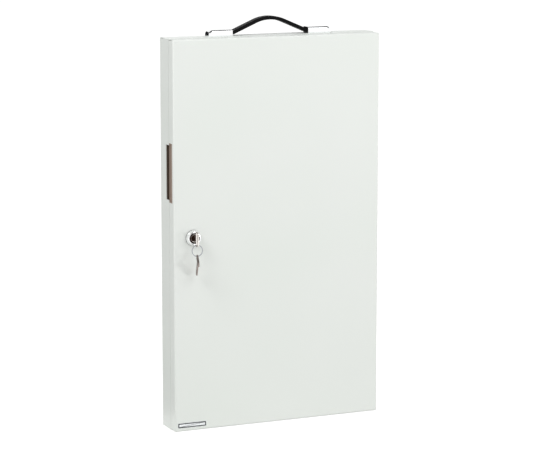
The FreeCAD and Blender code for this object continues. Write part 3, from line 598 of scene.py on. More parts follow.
def round_corners(bm: Solid, corners: Sequence[bmesh.types.BMVert], radius: float, segments: int) -> Solid:
    """Rounds corners of a flat outline.

    Args:
        bm: the outline.
        corners: the corners to round.
        radius: how far from each corner the round starts, in mm.
        segments: how many strips make the round.

    Returns:
        The same outline.
    """
    bmesh.ops.bevel(bm, geom=list(corners), offset=radius, offset_type="OFFSET", affect="VERTICES",
                    segments=segments, profile=0.5, material=-1, clamp_overlap=True)
    return bm


def as_mesh(bm: Solid, name: str) -> bpy.types.Mesh:
    """Makes a mesh of a solid, which is used up.

    Args:
        bm: the solid.
        name: the mesh's name.

    Returns:
        The mesh.
    """
    mesh = bpy.data.meshes.new(name)
    bm.to_mesh(mesh)
    bm.free()
    return mesh


def in_scene(name: str, data: bpy.types.ID) -> bpy.types.Object:
    """Makes an object of the scene.

    Args:
        name: the object's name.
        data: its mesh, lamp or camera.

    Returns:
        The object.
    """
    made = bpy.data.objects.new(name, data)
    bpy.context.scene.collection.objects.link(made)
    return made


def together(solids: Sequence[Solid]) -> Solid:
    """Puts solids into one mesh.

    Args:
        solids: the solids, which are used up.

    Returns:
        One solid that holds them all.
    """
    joined = bmesh.new()
    for solid in solids:
        mesh = as_mesh(solid, "part")
        joined.from_mesh(mesh)
        bpy.data.meshes.remove(mesh)
    return joined


def combine(base: Solid, tools: Sequence[Solid], join: Join, overlapping: bool = False) -> Solid:
    """Cuts solids away from a base, or welds them to it.

    Args:
        base: the solid that is changed.
        tools: the solids that cut it or are welded to it.
        join: which of the two.
        overlapping: True where the tools overlap each other.

    Returns:
        A new solid; the others are used up.
    """
    objects = [in_scene("part", as_mesh(solid, "part")) for solid in (base, together(tools))]
    modifier = objects[0].modifiers.new("join", "BOOLEAN")
    modifier.operation = join.value
    modifier.solver = "EXACT"
    modifier.use_self = overlapping
    modifier.object = objects[1]
    bpy.context.view_layer.update()
    depsgraph = bpy.context.evaluated_depsgraph_get()
    done = bpy.data.meshes.new_from_object(objects[0].evaluated_get(depsgraph))
    result = bmesh.new()
    result.from_mesh(done)
    bmesh.ops.remove_doubles(result, verts=result.verts, dist=TOLERANCE)
    bmesh.ops.dissolve_degenerate(result, dist=TOLERANCE, edges=result.edges)
    bpy.data.meshes.remove(done)
    for old in objects:
        mesh = old.data
        bpy.data.objects.remove(old)
        bpy.data.meshes.remove(mesh)
    return result


def turned(
    profile: Sequence[Pair],
    centre: Point,
    axis: Axis,
    soften: float = 0.0,
    steps: int = 72,
) -> Solid:
    """Turns a profile into a round solid.

    Args:
        profile: radius and place along the axis; it is closed unless its ends are on the axis.
        centre: a point on the axis from which the places count.
        axis: the direction of the axis.
        soften: the radius that rounds the profile's corners.
        steps: how many strips go round.

    Returns:
        The solid.
    """
    bm = bmesh.new()
    verts = [bm.verts.new((radius, 0, along)) for radius, along in profile]
    is_open = profile[0][0] == 0
    for first, second in zip(verts, verts[1:] if is_open else verts[1:] + verts[:1]):
        bm.edges.new((first, second))
    if soften:
        round_corners(bm, verts[1:-1] if is_open else verts, soften, 3)
    bmesh.ops.spin(bm, geom=bm.verts[:] + bm.edges[:], axis=(0, 0, 1), cent=(0, 0, 0),
                   angle=math.tau, steps=steps, use_merge=True)
    bmesh.ops.remove_doubles(bm, verts=bm.verts, dist=TOLERANCE)
    bmesh.ops.recalc_face_normals(bm, faces=bm.faces)
    turn = Vector((0, 0, 1)).rotation_difference(axis.unit()).to_matrix()
    return placed(bm, turn, centre)


@dataclass(frozen=True)
class Piece:
    """What a new piece is called, what it rides on and what it stands for."""

    name: str
    body: str
    slot: str
    stands_for: tuple[str, ...] = ()

    def finish(self, bm: Solid, *materials: bpy.types.Material) -> bpy.types.Object:
        """Makes the solid an object of the cabinet.

        Args:
            bm: the solid in mm, which is used up.
            materials: what it is made of.

        Returns:
            The new object.
        """
        bmesh.ops.scale(bm, vec=(MM, MM, MM), verts=bm.verts)
        mesh = as_mesh(bm, self.name)
        mesh.shade_smooth()
        mesh.set_sharp_from_angle(angle=SMOOTH_ANGLE)
        for material in materials:
            mesh.materials.append(material)
        made = in_scene(self.name, mesh)
        level = made.modifiers.new("flats", "WEIGHTED_NORMAL")
        level.keep_sharp = True
        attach(made, self.body)
        if self.stands_for:
            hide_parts(*self.stands_for)
        LOG.info("%s: %d faces on body %s", self.name, len(mesh.polygons), self.body)
        return made


def dress(material: bpy.types.Material, *nodes: str) -> None:
    """Gives CAD nodes their material.

    Args:
        material: what they are made of.
        nodes: the nodes' names.
    """
    for name in nodes:
        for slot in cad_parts[name].material_slots:
            slot.material = material
        LOG.info("%s: CAD node in %s", name, material.name)


def extent(node: str) -> tuple[Span, Span, Span]:
    """Returns a CAD node's spans along X, Y and Z in mm."""
    low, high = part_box(node)
    return tuple((low[i] / MM, high[i] / MM) for i in range(3))


# ---------------------------------------------------------------- case and door


@dataclass
class FoldedTray:
    """A tray folded from sheet steel, with bends round its panel and slit corners."""

    piece: Piece
    rim_y: float
    panel_y: float
    slit_y: Span
    sheet: float = 1.0
    outer_bend: float = 2.0
    inner_bend: float = 1.0
    rim_round: float = 0.2
    slit: float = 0.9
    slit_reach: float = 3.0

    def __post_init__(self) -> None:
        """Reads the tray's spans from the node it stands for."""
        self.x, self.y, self.z = extent(self.piece.stands_for[0])

    def hollow(self) -> Solid:
        """Makes the folded tray with rounded bends, inside and outside.

        Returns:
            The tray, without its slits and openings.
        """
        inward = math.copysign(1, self.rim_y - self.panel_y)
        outer = block(self.x, self.y, self.z)
        round_edges(outer, edges_on(outer, Axis.Y, self.panel_y), self.outer_bend, 6)
        floor = self.panel_y + inward * self.sheet
        inside = [(low + self.sheet, high - self.sheet) for low, high in (self.x, self.z)]
        inner = block(inside[0], ordered(floor, self.rim_y + inward * OVERCUT), inside[1])
        round_edges(inner, edges_on(inner, Axis.Y, floor), self.inner_bend, 6)
        tray = combine(outer, [inner], Join.CUT)
        return round_edges(tray, edges_on(tray, Axis.Y, self.rim_y), self.rim_round, 2)

    def corner_slits(self) -> list[Solid]:
        """Makes the thin cuts where two folded walls meet at the corners.

        Returns:
            One cut for each corner.
        """
        cuts = []
        for side, x in zip((-1, 1), self.x):
            for end, z in zip((-1, 1), self.z):
                cut = block((-self.slit_reach, self.slit_reach), self.slit_y, around(0, self.slit))
                turn = Matrix.Rotation(math.radians(-45 * side * end), 3, "Y")
                cuts.append(placed(cut, turn, (x, 0, z)))
        return cuts

    def build(self, paint: bpy.types.Material, openings: Sequence[Solid]) -> None:
        """Makes the tray, with its openings cut and dressed in paint."""
        tray = combine(self.hollow(), self.corner_slits() + list(openings), Join.CUT)
        self.piece.finish(tray, paint)


@dataclass
class Case:
    """The rear tray with its frame, its hooks and all that is fixed inside it."""

    rim_y: float = -7.2
    back_y: float = 24.0
    back_cut: Span = (22.0, 25.0)
    top_cut: Span = (528.0, 531.0)
    slit_start_y: float = 9.8
    slit_end_y: float = 20.5
    pocket_y: float = 3.1
    pocket_lap: float = 1.2
    wall_hole_radius: float = 2.75
    wall_holes: tuple[Pair, Pair] = ((-120.0, 120.0), (80.0, 464.0))
    rivet_hole_radius: float = 1.65
    rivet_x: tuple[float, ...] = (-125.0, 0.0, 125.0)
    rivet_rise: float = 5.0
    screw_hole_radius: float = 2.0
    screw_x: Pair = (-72.0, 72.0)
    screw_y: float = 8.4
    rail_count: int = 10
    rail_bottom: float = 56.0
    rail_pitch: float = 48.0

    def rail_heights(self) -> list[float]:
        """Returns the middle height of each rail."""
        return [self.rail_bottom + self.rail_pitch * number for number in range(self.rail_count)]

    def back_hole(self, radius: float, x: float, z: float, steps: int) -> Solid:
        """Returns what cuts one round hole in the back."""
        return rod(radius, (x, self.back_cut[0], z), (x, self.back_cut[1], z), steps)

    def openings(self) -> list[Solid]:
        """Makes what is cut from the tray: the finger opening and every hole.

        Returns:
            The solids that cut them.
        """
        low, high = extent("finger_pocket")[2]
        pocket = (low + self.pocket_lap, high - self.pocket_lap)
        cuts = [block(SIDE_CUT, (self.rim_y - OVERCUT, self.pocket_y), pocket)]
        for x in self.wall_holes[0]:
            cuts += [self.back_hole(self.wall_hole_radius, x, z, 32) for z in self.wall_holes[1]]
        for rail_z in self.rail_heights():
            z = rail_z + self.rivet_rise
            cuts += [self.back_hole(self.rivet_hole_radius, x, z, 20) for x in self.rivet_x]
        for x in self.screw_x:
            ends = [(x, self.screw_y, z) for z in self.top_cut]
            cuts.append(rod(self.screw_hole_radius, *ends, 32))
        return cuts

    def build(self, palette: Palette) -> None:
        """Makes the tray and dresses the pieces fixed to it.

        Args:
            palette: the cabinet's materials.
        """
        skin = Piece("case_skin", "case", "case_paint", ("body_shell",))
        tray = FoldedTray(skin, self.rim_y, self.back_y, (self.slit_start_y, self.slit_end_y))
        tray.build(palette.paint, self.openings())
        rails = ["hook_rail_%02d" % number for number in range(1, self.rail_count + 1)]
        dress(palette.paint, "front_frame", "strike_lip", *rails)
        dress(palette.zinc, "handle_backing_plate")
        dress(palette.steel, "rail_rivets", "handle_screws", "strap_core")
        dress(palette.white, "number_strips")
        dress(palette.rubber, "door_buffers")
        RailNumbers(self.rail_heights()).build(palette.ink)


@dataclass
class RailNumbers:
    """The numbers printed on the strips, one under each hook, from the top left."""

    rail_heights: Sequence[float]
    hooks: int = 6
    first_x: float = -112.5
    step_x: float = 45.0
    middle_drop: float = 5.2
    face_y: float = 21.4
    size: float = 7.0
    ink: float = 0.04
    gap: float = 0.01

    def number(self, text: str, x: float, z: float) -> Solid:
        """Makes one number as a thin closed solid in its place.

        Args:
            text: the number.
            x: its middle along X.
            z: its middle height.

        Returns:
            The number's solid.
        """
        curve = bpy.data.curves.new("number", "FONT")
        curve.body = text
        curve.size = self.size
        curve.align_x = "CENTER"
        curve.align_y = "CENTER"
        curve.resolution_u = 3
        curve.extrude = self.ink / 2
        written = bpy.data.objects.new("number", curve)
        mesh = bpy.data.meshes.new_from_object(written)
        bm = bmesh.new()
        bm.from_mesh(mesh)
        bpy.data.objects.remove(written)
        bpy.data.curves.remove(curve)
        bpy.data.meshes.remove(mesh)
        bmesh.ops.remove_doubles(bm, verts=bm.verts, dist=TOLERANCE)
        upright = Matrix.Rotation(math.pi / 2, 3, "X")
        return placed(bm, upright, (x, self.face_y - self.ink / 2 - self.gap, z))

    def build(self, ink: bpy.types.Material) -> None:
        """Makes every number as one piece.

        Args:
            ink: what they are printed with.
        """
        numbers = []
        for row, rail_z in enumerate(sorted(self.rail_heights, reverse=True)):
            for hook in range(self.hooks):
                text = str(row * self.hooks + hook + 1)
                x = self.first_x + hook * self.step_x
                numbers.append(self.number(text, x, rail_z - self.middle_drop))
        Piece("rail_numbers", "case", "strip_card").finish(together(numbers), ink)


@dataclass
class Door:
    """The front tray with what is fixed inside it."""

    front_cut: Span = (-25.0, -22.0)
    rim_y: float = -8.0
    slit_start_y: float = -20.5
    lock_hole_radius: float = 9.1
    pull_y: float = -19.1
    pull_z: Span = (312.0, 392.0)
    plate_corner: float = 1.2
    plate_edge: float = 0.12
    plate_margin: float = 0.25
    plate_line: float = 1.4

    def plate(self) -> Solid:
        """Makes the bare plate, with a plain printed line round its face.

        Returns:
            The plate; the line's faces have the second material.
        """
        x, y, z = extent("blank_label")
        plate = block(x, y, z)
        round_edges(plate, edges_along(plate, Axis.Y), self.plate_corner, 5)
        round_edges(plate, edges_on(plate, Axis.Y, y[0]), self.plate_edge, 2)
        plate.normal_update()
        front = [f for f in plate.faces if f.normal.y < -FACING]
        face = [max(front, key=lambda f: f.calc_area())]
        bmesh.ops.inset_region(plate, faces=face, thickness=self.plate_margin, use_even_offset=True)
        line = bmesh.ops.inset_region(plate, faces=face, thickness=self.plate_line, use_even_offset=True)
        for band in line["faces"]:
            band.material_index = 1
        return plate

    def build(self, palette: Palette) -> None:
        """Makes the tray and the bare plate, and dresses the rest.

        Args:
            palette: the cabinet's materials.
        """
        x, z = LOCK
        past_rim = self.rim_y + OVERCUT
        openings = [
            block(SIDE_CUT, (self.pull_y, past_rim), self.pull_z),
            rod(self.lock_hole_radius, (x, self.front_cut[0], z), (x, self.front_cut[1], z)),
        ]
        skin = Piece("door_skin", "door", "case_paint", ("door_shell",))
        tray = FoldedTray(skin, self.rim_y, DOOR_FRONT, (self.slit_start_y, past_rim))
        tray.build(palette.paint, openings)
        label = Piece("bare_plate", "door", "label_metal", ("blank_label",))
        label.finish(self.plate(), palette.plate, palette.ink)
        dress(palette.paint, "door_stiffener")
        dress(palette.white, "card_rail_lower", "card_rail_upper")
        dress(palette.card, "index_card")


@dataclass
class FingerGrip:
    """The moulded pull in the door's edge and the cup behind it in the case."""

    side_x: float = -151.0
    middle_z: float = 352.0
    recess: float = 2.5
    wall: float = 1.3
    lip_reach: float = 12.0
    cup_depth: float = 12.0
    cup_length: float = 74.0
    lap: float = 2.6
    play: float = 0.2
    sheet: float = 1.0
    edge_round: float = 0.5
    lip_round: float = 0.3
    recess_round: float = 1.2
    cup_edge_round: float = 0.6
    cup_inner_round: float = 2.0

    def pull(self) -> Solid:
        """Makes the pull: a shallow tray with a lap behind the sheet and a finger lip.

        Returns:
            The pull.
        """
        x, y, z = extent("door_pull")
        outer_x, floor_x = x[0], self.side_x + self.recess
        front_y = y[0] + self.lap - self.wall
        length = z[1] - z[0] - 2 * self.lap - self.play
        tray = block((outer_x, floor_x + self.wall), (front_y, y[1]), around(self.middle_z, length))
        round_edges(tray, edges_along(tray, Axis.X), self.edge_round)
        lap = block((self.side_x + self.sheet, floor_x + self.wall), y, z)
        lip = block((outer_x, self.side_x + self.lip_reach), (y[1] - self.wall, y[1]),
                    around(self.middle_z, self.cup_length))
        round_edges(lip, edges_along(lip, Axis.Z), self.lip_round, 2)
        whole = combine(tray, [lap, lip], Join.WELD, True)
        recess = block((outer_x - OVERCUT, floor_x), (front_y + self.wall, y[1] - self.wall),
                       around(self.middle_z, length - 2 * self.wall))
        round_edges(recess, edges_on(recess, Axis.X, floor_x), self.recess_round, 4)
        return combine(whole, [recess], Join.CUT)

    def cup(self) -> Solid:
        """Makes the cup, open to the left and to the door.

        Returns:
            The cup.
        """
        x, y, z = extent("finger_pocket")
        wall = (z[1] - z[0] - self.cup_length) / 2
        shell = block(x, y, z)
        round_edges(shell, edges_on(shell, Axis.X, x[1]), self.cup_edge_round)
        floor_x, mouth_y = self.side_x + self.cup_depth, y[0] - OVERCUT
        space = block((x[0] - OVERCUT, floor_x), (mouth_y, y[1] - wall),
                      around(self.middle_z, self.cup_length))
        mouth = edges_on(space, Axis.Y, mouth_y)
        inner = [e for e in edges_on(space, Axis.X, floor_x) if e not in mouth]
        round_edges(space, inner, self.cup_inner_round, 5)
        return combine(shell, [space], Join.CUT)

    def build(self, palette: Palette) -> None:
        """Makes the pull and the cup.

        Args:
            palette: the cabinet's materials.
        """
        pull = Piece("pull_moulding", "door", "brown_plastic", ("door_pull",))
        pull.finish(self.pull(), palette.brown)
        # The cup's darker brown is painted shade in the hollow behind the pull.
        cup = Piece("cup_moulding", "case", "dark_plastic", ("finger_pocket",))
        cup.finish(self.cup(), palette.shade_brown)


# ---------------------------------------------------------------- hinges


@dataclass
class Hinges:
    """Two pin hinges on the right side, their leaves welded to the two trays."""

    pin_x: float = 153.8
    pin_y: float = -7.6
    middles: tuple[tuple[str, float], ...] = (("lower", 90.0), ("upper", 440.0))
    length: float = 50.0
    knuckles: int = 5
    knuckle_gap: float = 0.4
    knuckle_radius: float = 2.5
    knuckle_round: float = 0.2
    bore_radius: float = 1.3
    pin_radius: float = 1.25
    head_radius: float = 2.1
    head_height: float = 0.9
    head_side: float = 0.4
    dome_share: float = 0.72
    dome_drop: float = 0.1
    leaf_x: Span = (151.0, 152.2)
    leaf_reach: float = 12.5
    leaf_gap: float = 0.4
    leaf_corner: float = 2.0
    leaf_edge: float = 0.25
    weld: float = 0.5
    seam: float = 0.8

    def spans(self, middle_z: float) -> list[Span]:
        """Finds the knuckles' heights.

        Args:
            middle_z: the hinge's middle height.

        Returns:
            Their spans, from the bottom up.
        """
        pitch = self.length / self.knuckles
        low = middle_z - self.length / 2
        half = self.knuckle_gap / 2
        return [(low + n * pitch + half, low + (n + 1) * pitch - half) for n in range(self.knuckles)]

    def on_pin(self, radius: float, z: Span, steps: int = 48) -> Solid:
        """Returns a cylinder round the pin's axis."""
        return rod(radius, (self.pin_x, self.pin_y, z[0]), (self.pin_x, self.pin_y, z[1]), steps)

    def leaf(self, middle_z: float, toward: int, spans: Sequence[Span]) -> Solid:
        """Makes a leaf whose tongues curl into knuckles.

        Args:
            middle_z: the hinge's middle height.
            toward: 1 for the case and -1 for the door.
            spans: the heights of its knuckles.

        Returns:
            The leaf.
        """
        edge_y = self.pin_y + toward * (self.knuckle_radius + self.leaf_gap)
        end_y = self.pin_y + toward * self.leaf_reach
        plate = block(self.leaf_x, ordered(edge_y, end_y), around(middle_z, self.length))
        round_edges(plate, edges_along(plate, Axis.X, {Axis.Y: end_y}), self.leaf_corner, 5)
        round_edges(plate, edges_on(plate, Axis.X, self.leaf_x[1]), self.leaf_edge, 2)
        tongue_y = ordered(self.pin_y + toward * self.seam / 2, edge_y + toward * self.weld)
        rolled = []
        for span in spans:
            barrel = self.on_pin(self.knuckle_radius, span)
            ends = edges_on(barrel, Axis.Z, span[0]) + edges_on(barrel, Axis.Z, span[1])
            rolled += [block(self.leaf_x, tongue_y, span), round_edges(barrel, ends, self.knuckle_round, 2)]
        whole = combine(plate, rolled, Join.WELD, True)
        bore = self.on_pin(self.bore_radius, around(middle_z, 2 * self.length), 32)
        return combine(whole, [bore], Join.CUT)

    def pin(self, middle_z: float) -> Solid:
        """Makes a pin with a domed head.

        Args:
            middle_z: the hinge's middle height.

        Returns:
            The pin.
        """
        spans = self.spans(middle_z)
        low, seat = spans[0][0], spans[-1][1]
        top = seat + self.head_height
        profile = [(0, low), (self.pin_radius, low), (self.pin_radius, seat), (self.head_radius, seat),
                   (self.head_radius, seat + self.head_side),
                   (self.head_radius * self.dome_share, top - self.dome_drop), (0, top)]
        return turned(profile, (self.pin_x, self.pin_y, 0), Axis.Z, 0.0, 32)

    def build(self, palette: Palette) -> None:
        """Makes both hinges.

        Args:
            palette: the cabinet's materials.
        """
        for name, middle_z in self.middles:
            spans = self.spans(middle_z)
            fixed = Piece("case_leaf_" + name, "case", "case_paint", ("hinge_leaf_case_" + name,))
            moving = Piece("door_leaf_" + name, "door", "case_paint", ("hinge_leaf_door_" + name,))
            pin = Piece("round_pin_" + name, "case", "pin_steel", ("hinge_pin_" + name,))
            fixed.finish(self.leaf(middle_z, 1, spans[0::2]), palette.paint)
            moving.finish(self.leaf(middle_z, -1, spans[1::2]), palette.paint)
            pin.finish(self.pin(middle_z), palette.steel)


# ---------------------------------------------------------------- strap handle


@dataclass
class StrapHandle:
    """A grained strap whose slotted ends slide under two chrome caps."""

    middle_y: float = 8.4
    roof_wall: float = 1.1
    end_radius: float = 6.0
    edge_radius: float = 2.4
    boss_x: float = 72.0
    boss_radius: float = 3.0
    tap_radius: float = 1.8
    base_top: float = 531.6
    thickness: float = 4.8
    width: float = 13.0
    strap_z: float = 534.3
    rise: float = 18.3
    bend_x: float = 55.0
    end_bend: float = 7.0
    crown: float = 52.0
    end_x: float = 81.0
    strap_edge: float = 1.2
    slot_half: float = 6.4
    slot_radius: float = 3.4
    slot_cut: Span = (-4.0, 4.0)
    strips: int = 180
    level_limit: float = 0.7
    chart_under: float = 40.0
    chart_edges: float = 80.0

    def __post_init__(self) -> None:
        """Works out the arch: its turn and the lengths of its stretches."""
        bends = self.end_bend + self.crown
        self.straight = math.sqrt(self.bend_x ** 2 + self.rise ** 2 - 2 * bends * self.rise)
        across = bends * self.bend_x + self.straight * (self.rise - bends)
        self.turn = math.asin(across / (bends ** 2 + self.straight ** 2))
        self.half_length = bends * self.turn + self.straight + self.end_x - self.bend_x

    def bent(self, place: Vector) -> Vector:
        """Moves a point of the flat strap to its place on the arch.

        Args:
            place: distance from the middle along the strap, across it, and above its middle plane.

        Returns:
            The point on the arch.
        """
        run, side = abs(place.x), math.copysign(1, place.x)
        on_crown = self.crown * self.turn
        on_straight = on_crown + self.straight
        on_bend = on_straight + self.end_bend * self.turn
        slope = self.turn
        if run <= on_crown:
            slope = run / self.crown
            x = self.crown * math.sin(slope)
            z = self.strap_z + self.rise - self.crown * (1 - math.cos(slope))
        elif run <= on_straight:
            past = run - on_crown
            x = self.crown * math.sin(slope) + past * math.cos(slope)
            z = self.strap_z + self.rise - self.crown * (1 - math.cos(slope)) - past * math.sin(slope)
        elif run <= on_bend:
            slope = self.turn - (run - on_straight) / self.end_bend
            x = self.bend_x - self.end_bend * math.sin(slope)
            z = self.strap_z + self.end_bend * (1 - math.cos(slope))
        else:
            slope = 0.0
            x = self.bend_x + run - on_bend
            z = self.strap_z
        x += place.z * math.sin(slope)
        z += place.z * math.cos(slope)
        return Vector((side * x, self.middle_y + place.y, z))

    def strap(self) -> Solid:
        """Makes the strap, cut flat with its slots, mapped, and then bent.

        Returns:
            The strap; its edges have the second material.
        """
        length = (-self.half_length, self.half_length)
        flat = block(length, around(0, self.width), around(0, self.thickness))
        round_edges(flat, edges_along(flat, Axis.X), self.strap_edge, 4)
        long_edges = edges_along(flat, Axis.X)
        bmesh.ops.subdivide_edges(flat, edges=long_edges, cuts=self.strips, use_grid_fill=True)
        middle = self.half_length - (self.end_x - self.boss_x)
        slots = []
        for side in (-1, 1):
            slot = block(around(side * middle, 2 * self.slot_half), around(0, 2 * self.slot_radius),
                         self.slot_cut)
            slots.append(round_edges(slot, edges_along(slot, Axis.Z), self.slot_radius - HAIR, 10))
        strap = combine(flat, slots, Join.CUT)
        self.map_grain(strap)
        for vert in strap.verts:
            vert.co = self.bent(vert.co)
        return strap

    def map_grain(self, strap: Solid) -> None:
        """Lays the flat strap's faces out on its map, in metres, each side in its own place.

        Args:
            strap: the strap before it is bent.
        """
        chart = strap.loops.layers.uv.new("strap_map")
        strap.normal_update()
        for face in strap.faces:
            level = abs(face.normal.z) > self.level_limit
            face.material_index = 0 if level else 1
            under = 0 if face.normal.z > 0 else self.chart_under
            for loop in face.loops:
                place = loop.vert.co
                across = place.y + under if level else place.z + self.chart_edges
                loop[chart].uv = (place.x * MM, across * MM)

    def cap(self, node: str) -> Solid:
        """Makes one hollow cap with its boss.

        Args:
            node: the CAD node whose span it fills.

        Returns:
            The cap.
        """
        x, y, z = extent(node)
        wall = self.roof_wall
        side = 1 if sum(x) > 0 else -1
        mouth, end = (x[0], x[1]) if side > 0 else (x[1], x[0])
        shell = block(x, y, z)
        round_edges(shell, edges_along(shell, Axis.Y, {Axis.X: end, Axis.Z: z[1]}), self.end_radius, 10)
        plain = edges_on(shell, Axis.Z, z[0]) + edges_on(shell, Axis.X, mouth)
        upper = [e for flank in y for e in edges_on(shell, Axis.Y, flank) if e not in plain]
        round_edges(shell, upper, self.edge_radius, 4)
        inner_end = end - side * wall
        space = block(ordered(mouth - side * OVERCUT, inner_end), (y[0] + wall, y[1] - wall),
                      (z[0] - OVERCUT, z[1] - wall))
        corner = edges_along(space, Axis.Y, {Axis.X: inner_end, Axis.Z: z[1] - wall})
        round_edges(space, corner, self.end_radius - wall, 8)
        shell = combine(shell, [space], Join.CUT)
        centre = (side * self.boss_x, self.middle_y)
        boss = rod(self.boss_radius, (*centre, self.base_top), (*centre, z[1] - wall / 2), 32)
        tap = rod(self.tap_radius, (*centre, self.base_top - OVERCUT), (*centre, z[1] - wall), 24)
        return combine(combine(shell, [boss], Join.WELD), [tap], Join.CUT)

    def build(self, palette: Palette) -> None:
        """Makes the strap and both caps, and dresses the pads.

        Args:
            palette: the cabinet's materials.
        """
        strap = Piece("vinyl_strap", "strap", "strap_vinyl", ("handle_strap",))
        strap.finish(self.strap(), palette.vinyl, palette.strap_edge)
        for side in ("left", "right"):
            node = "handle_cap_" + side
            Piece("chrome_cap_" + side, "case", "chrome", (node,)).finish(self.cap(node), palette.chrome)
        dress(palette.black, "handle_base_left", "handle_base_right")


# ---------------------------------------------------------------- lock and keys


@dataclass
class CamLock:
    """The cam lock: a tapered chrome bezel and the plug that turns in it."""

    x: float = LOCK[0]
    z: float = LOCK[1]
    face_y: float = -29.5
    barrel_end_y: float = -10.7
    cam_y: float = -10.4
    cam_end_y: float = -8.4
    bore: float = 6.45
    barrel: float = 9.0
    flange: float = 10.6
    rim: float = 1.4
    face: float = 9.0
    groove: Pair = (8.6, 7.7)
    groove_depth: float = 0.35
    recess: float = 0.6
    bezel_round: float = 0.14
    painted_shade_reach: Pair = (0.3, 0.1)
    plug_radius: float = 6.4
    plug_edge: float = 0.35
    plug_round: float = 0.12
    dish: float = 0.45
    dish_radius: float = 4.9
    ring_reach: float = 0.15
    key_slot: Pair = (2.0, 6.8)
    slot_end_y: float = -12.6
    square: float = 6.0
    weld: float = 0.5
    screw_hole: Pair = (1.55, 1.2)
    steps: int = 96

    def bezel(self) -> Solid:
        """Makes the housing, turned from its profile with small rounds on the edges.

        Returns:
            The housing; its flange and its face inside the groove have the second material, the chrome
            darkened as painted shade.
        """
        outer, inner = self.groove
        profile = [
            (self.bore, self.barrel_end_y), (self.barrel, self.barrel_end_y), (self.barrel, DOOR_FRONT),
            (self.flange, DOOR_FRONT), (self.flange, DOOR_FRONT - self.rim), (self.face, self.face_y),
            (outer, self.face_y), ((outer + inner) / 2, self.face_y + self.groove_depth),
            (inner, self.face_y), (self.bore + self.recess, self.face_y),
            (self.bore, self.face_y + self.recess),
        ]
        bezel = turned(profile, (self.x, 0, self.z), Axis.Y, self.bezel_round, self.steps)
        # Painted shade: the outer rim and the face within the groove take the darker chrome, for the
        # contact shade and dark outlines there.
        beyond, within = self.flange - self.painted_shade_reach[0], inner - self.painted_shade_reach[1]
        self.colour_rings(bezel, lambda radius, y: radius > beyond or radius < within)
        return bezel

    def colour_rings(self, solid: Solid, second: Callable[[float, float], bool]) -> None:
        """Gives rings of a turned solid its second material.

        Args:
            solid: the solid.
            second: says whether a face has it, from its radius and its place along Y.
        """
        for face in solid.faces:
            place = face.calc_center_median()
            radius = math.hypot(place.x - self.x, place.z - self.z)
            face.material_index = int(second(radius, place.y))

    def plug(self) -> Solid:
        """Makes the plug with its key slot, its square tang and its screw hole.

        Returns:
            The plug; the ring round its dished face has the second material.
        """
        front = self.face_y + self.recess
        floor_radius, floor_y = self.dish_radius - self.dish, front + self.dish
        profile = [
            (0, floor_y), (floor_radius, floor_y), (self.dish_radius, front),
            (self.plug_radius - self.plug_edge, front), (self.plug_radius, front + self.plug_edge),
            (self.plug_radius, self.cam_y), (0, self.cam_y),
        ]
        plug = turned(profile, (self.x, 0, self.z), Axis.Y, self.plug_round, self.steps)
        beyond = self.dish_radius + self.ring_reach
        self.colour_rings(plug, lambda radius, y: floor_radius < radius < beyond and y < DOOR_FRONT)
        tang = block(around(self.x, self.square), (self.cam_y - self.weld, self.cam_end_y),
                     around(self.z, self.square))
        plug = combine(plug, [tang], Join.WELD)
        width, height = self.key_slot
        slot = block(around(self.x, width), (front - OVERCUT, self.slot_end_y), around(self.z, height))
        radius, depth = self.screw_hole
        hole = rod(radius, (self.x, self.cam_y - depth, self.z),
                   (self.x, self.cam_end_y + OVERCUT, self.z), 24)
        return combine(plug, [slot, hole], Join.CUT)

    def build(self, palette: Palette) -> None:
        """Makes the bezel and the plug, and dresses the nut, the cam and its screw.

        Args:
            palette: the cabinet's materials.
        """
        bezel = Piece("lock_bezel", "door", "chrome", ("lock_body",))
        bezel.finish(self.bezel(), palette.chrome, palette.shaded_chrome)
        plug = Piece("plug_face", "plug", "chrome", ("lock_plug",))
        # The plug's face is dark brown as a painted reflection of the dark room; the ring round its dish is
        # plain chrome.
        plug.finish(self.plug(), palette.plug, palette.chrome)
        dress(palette.zinc, "lock_nut", "lock_cam")
        dress(palette.steel, "cam_screw")


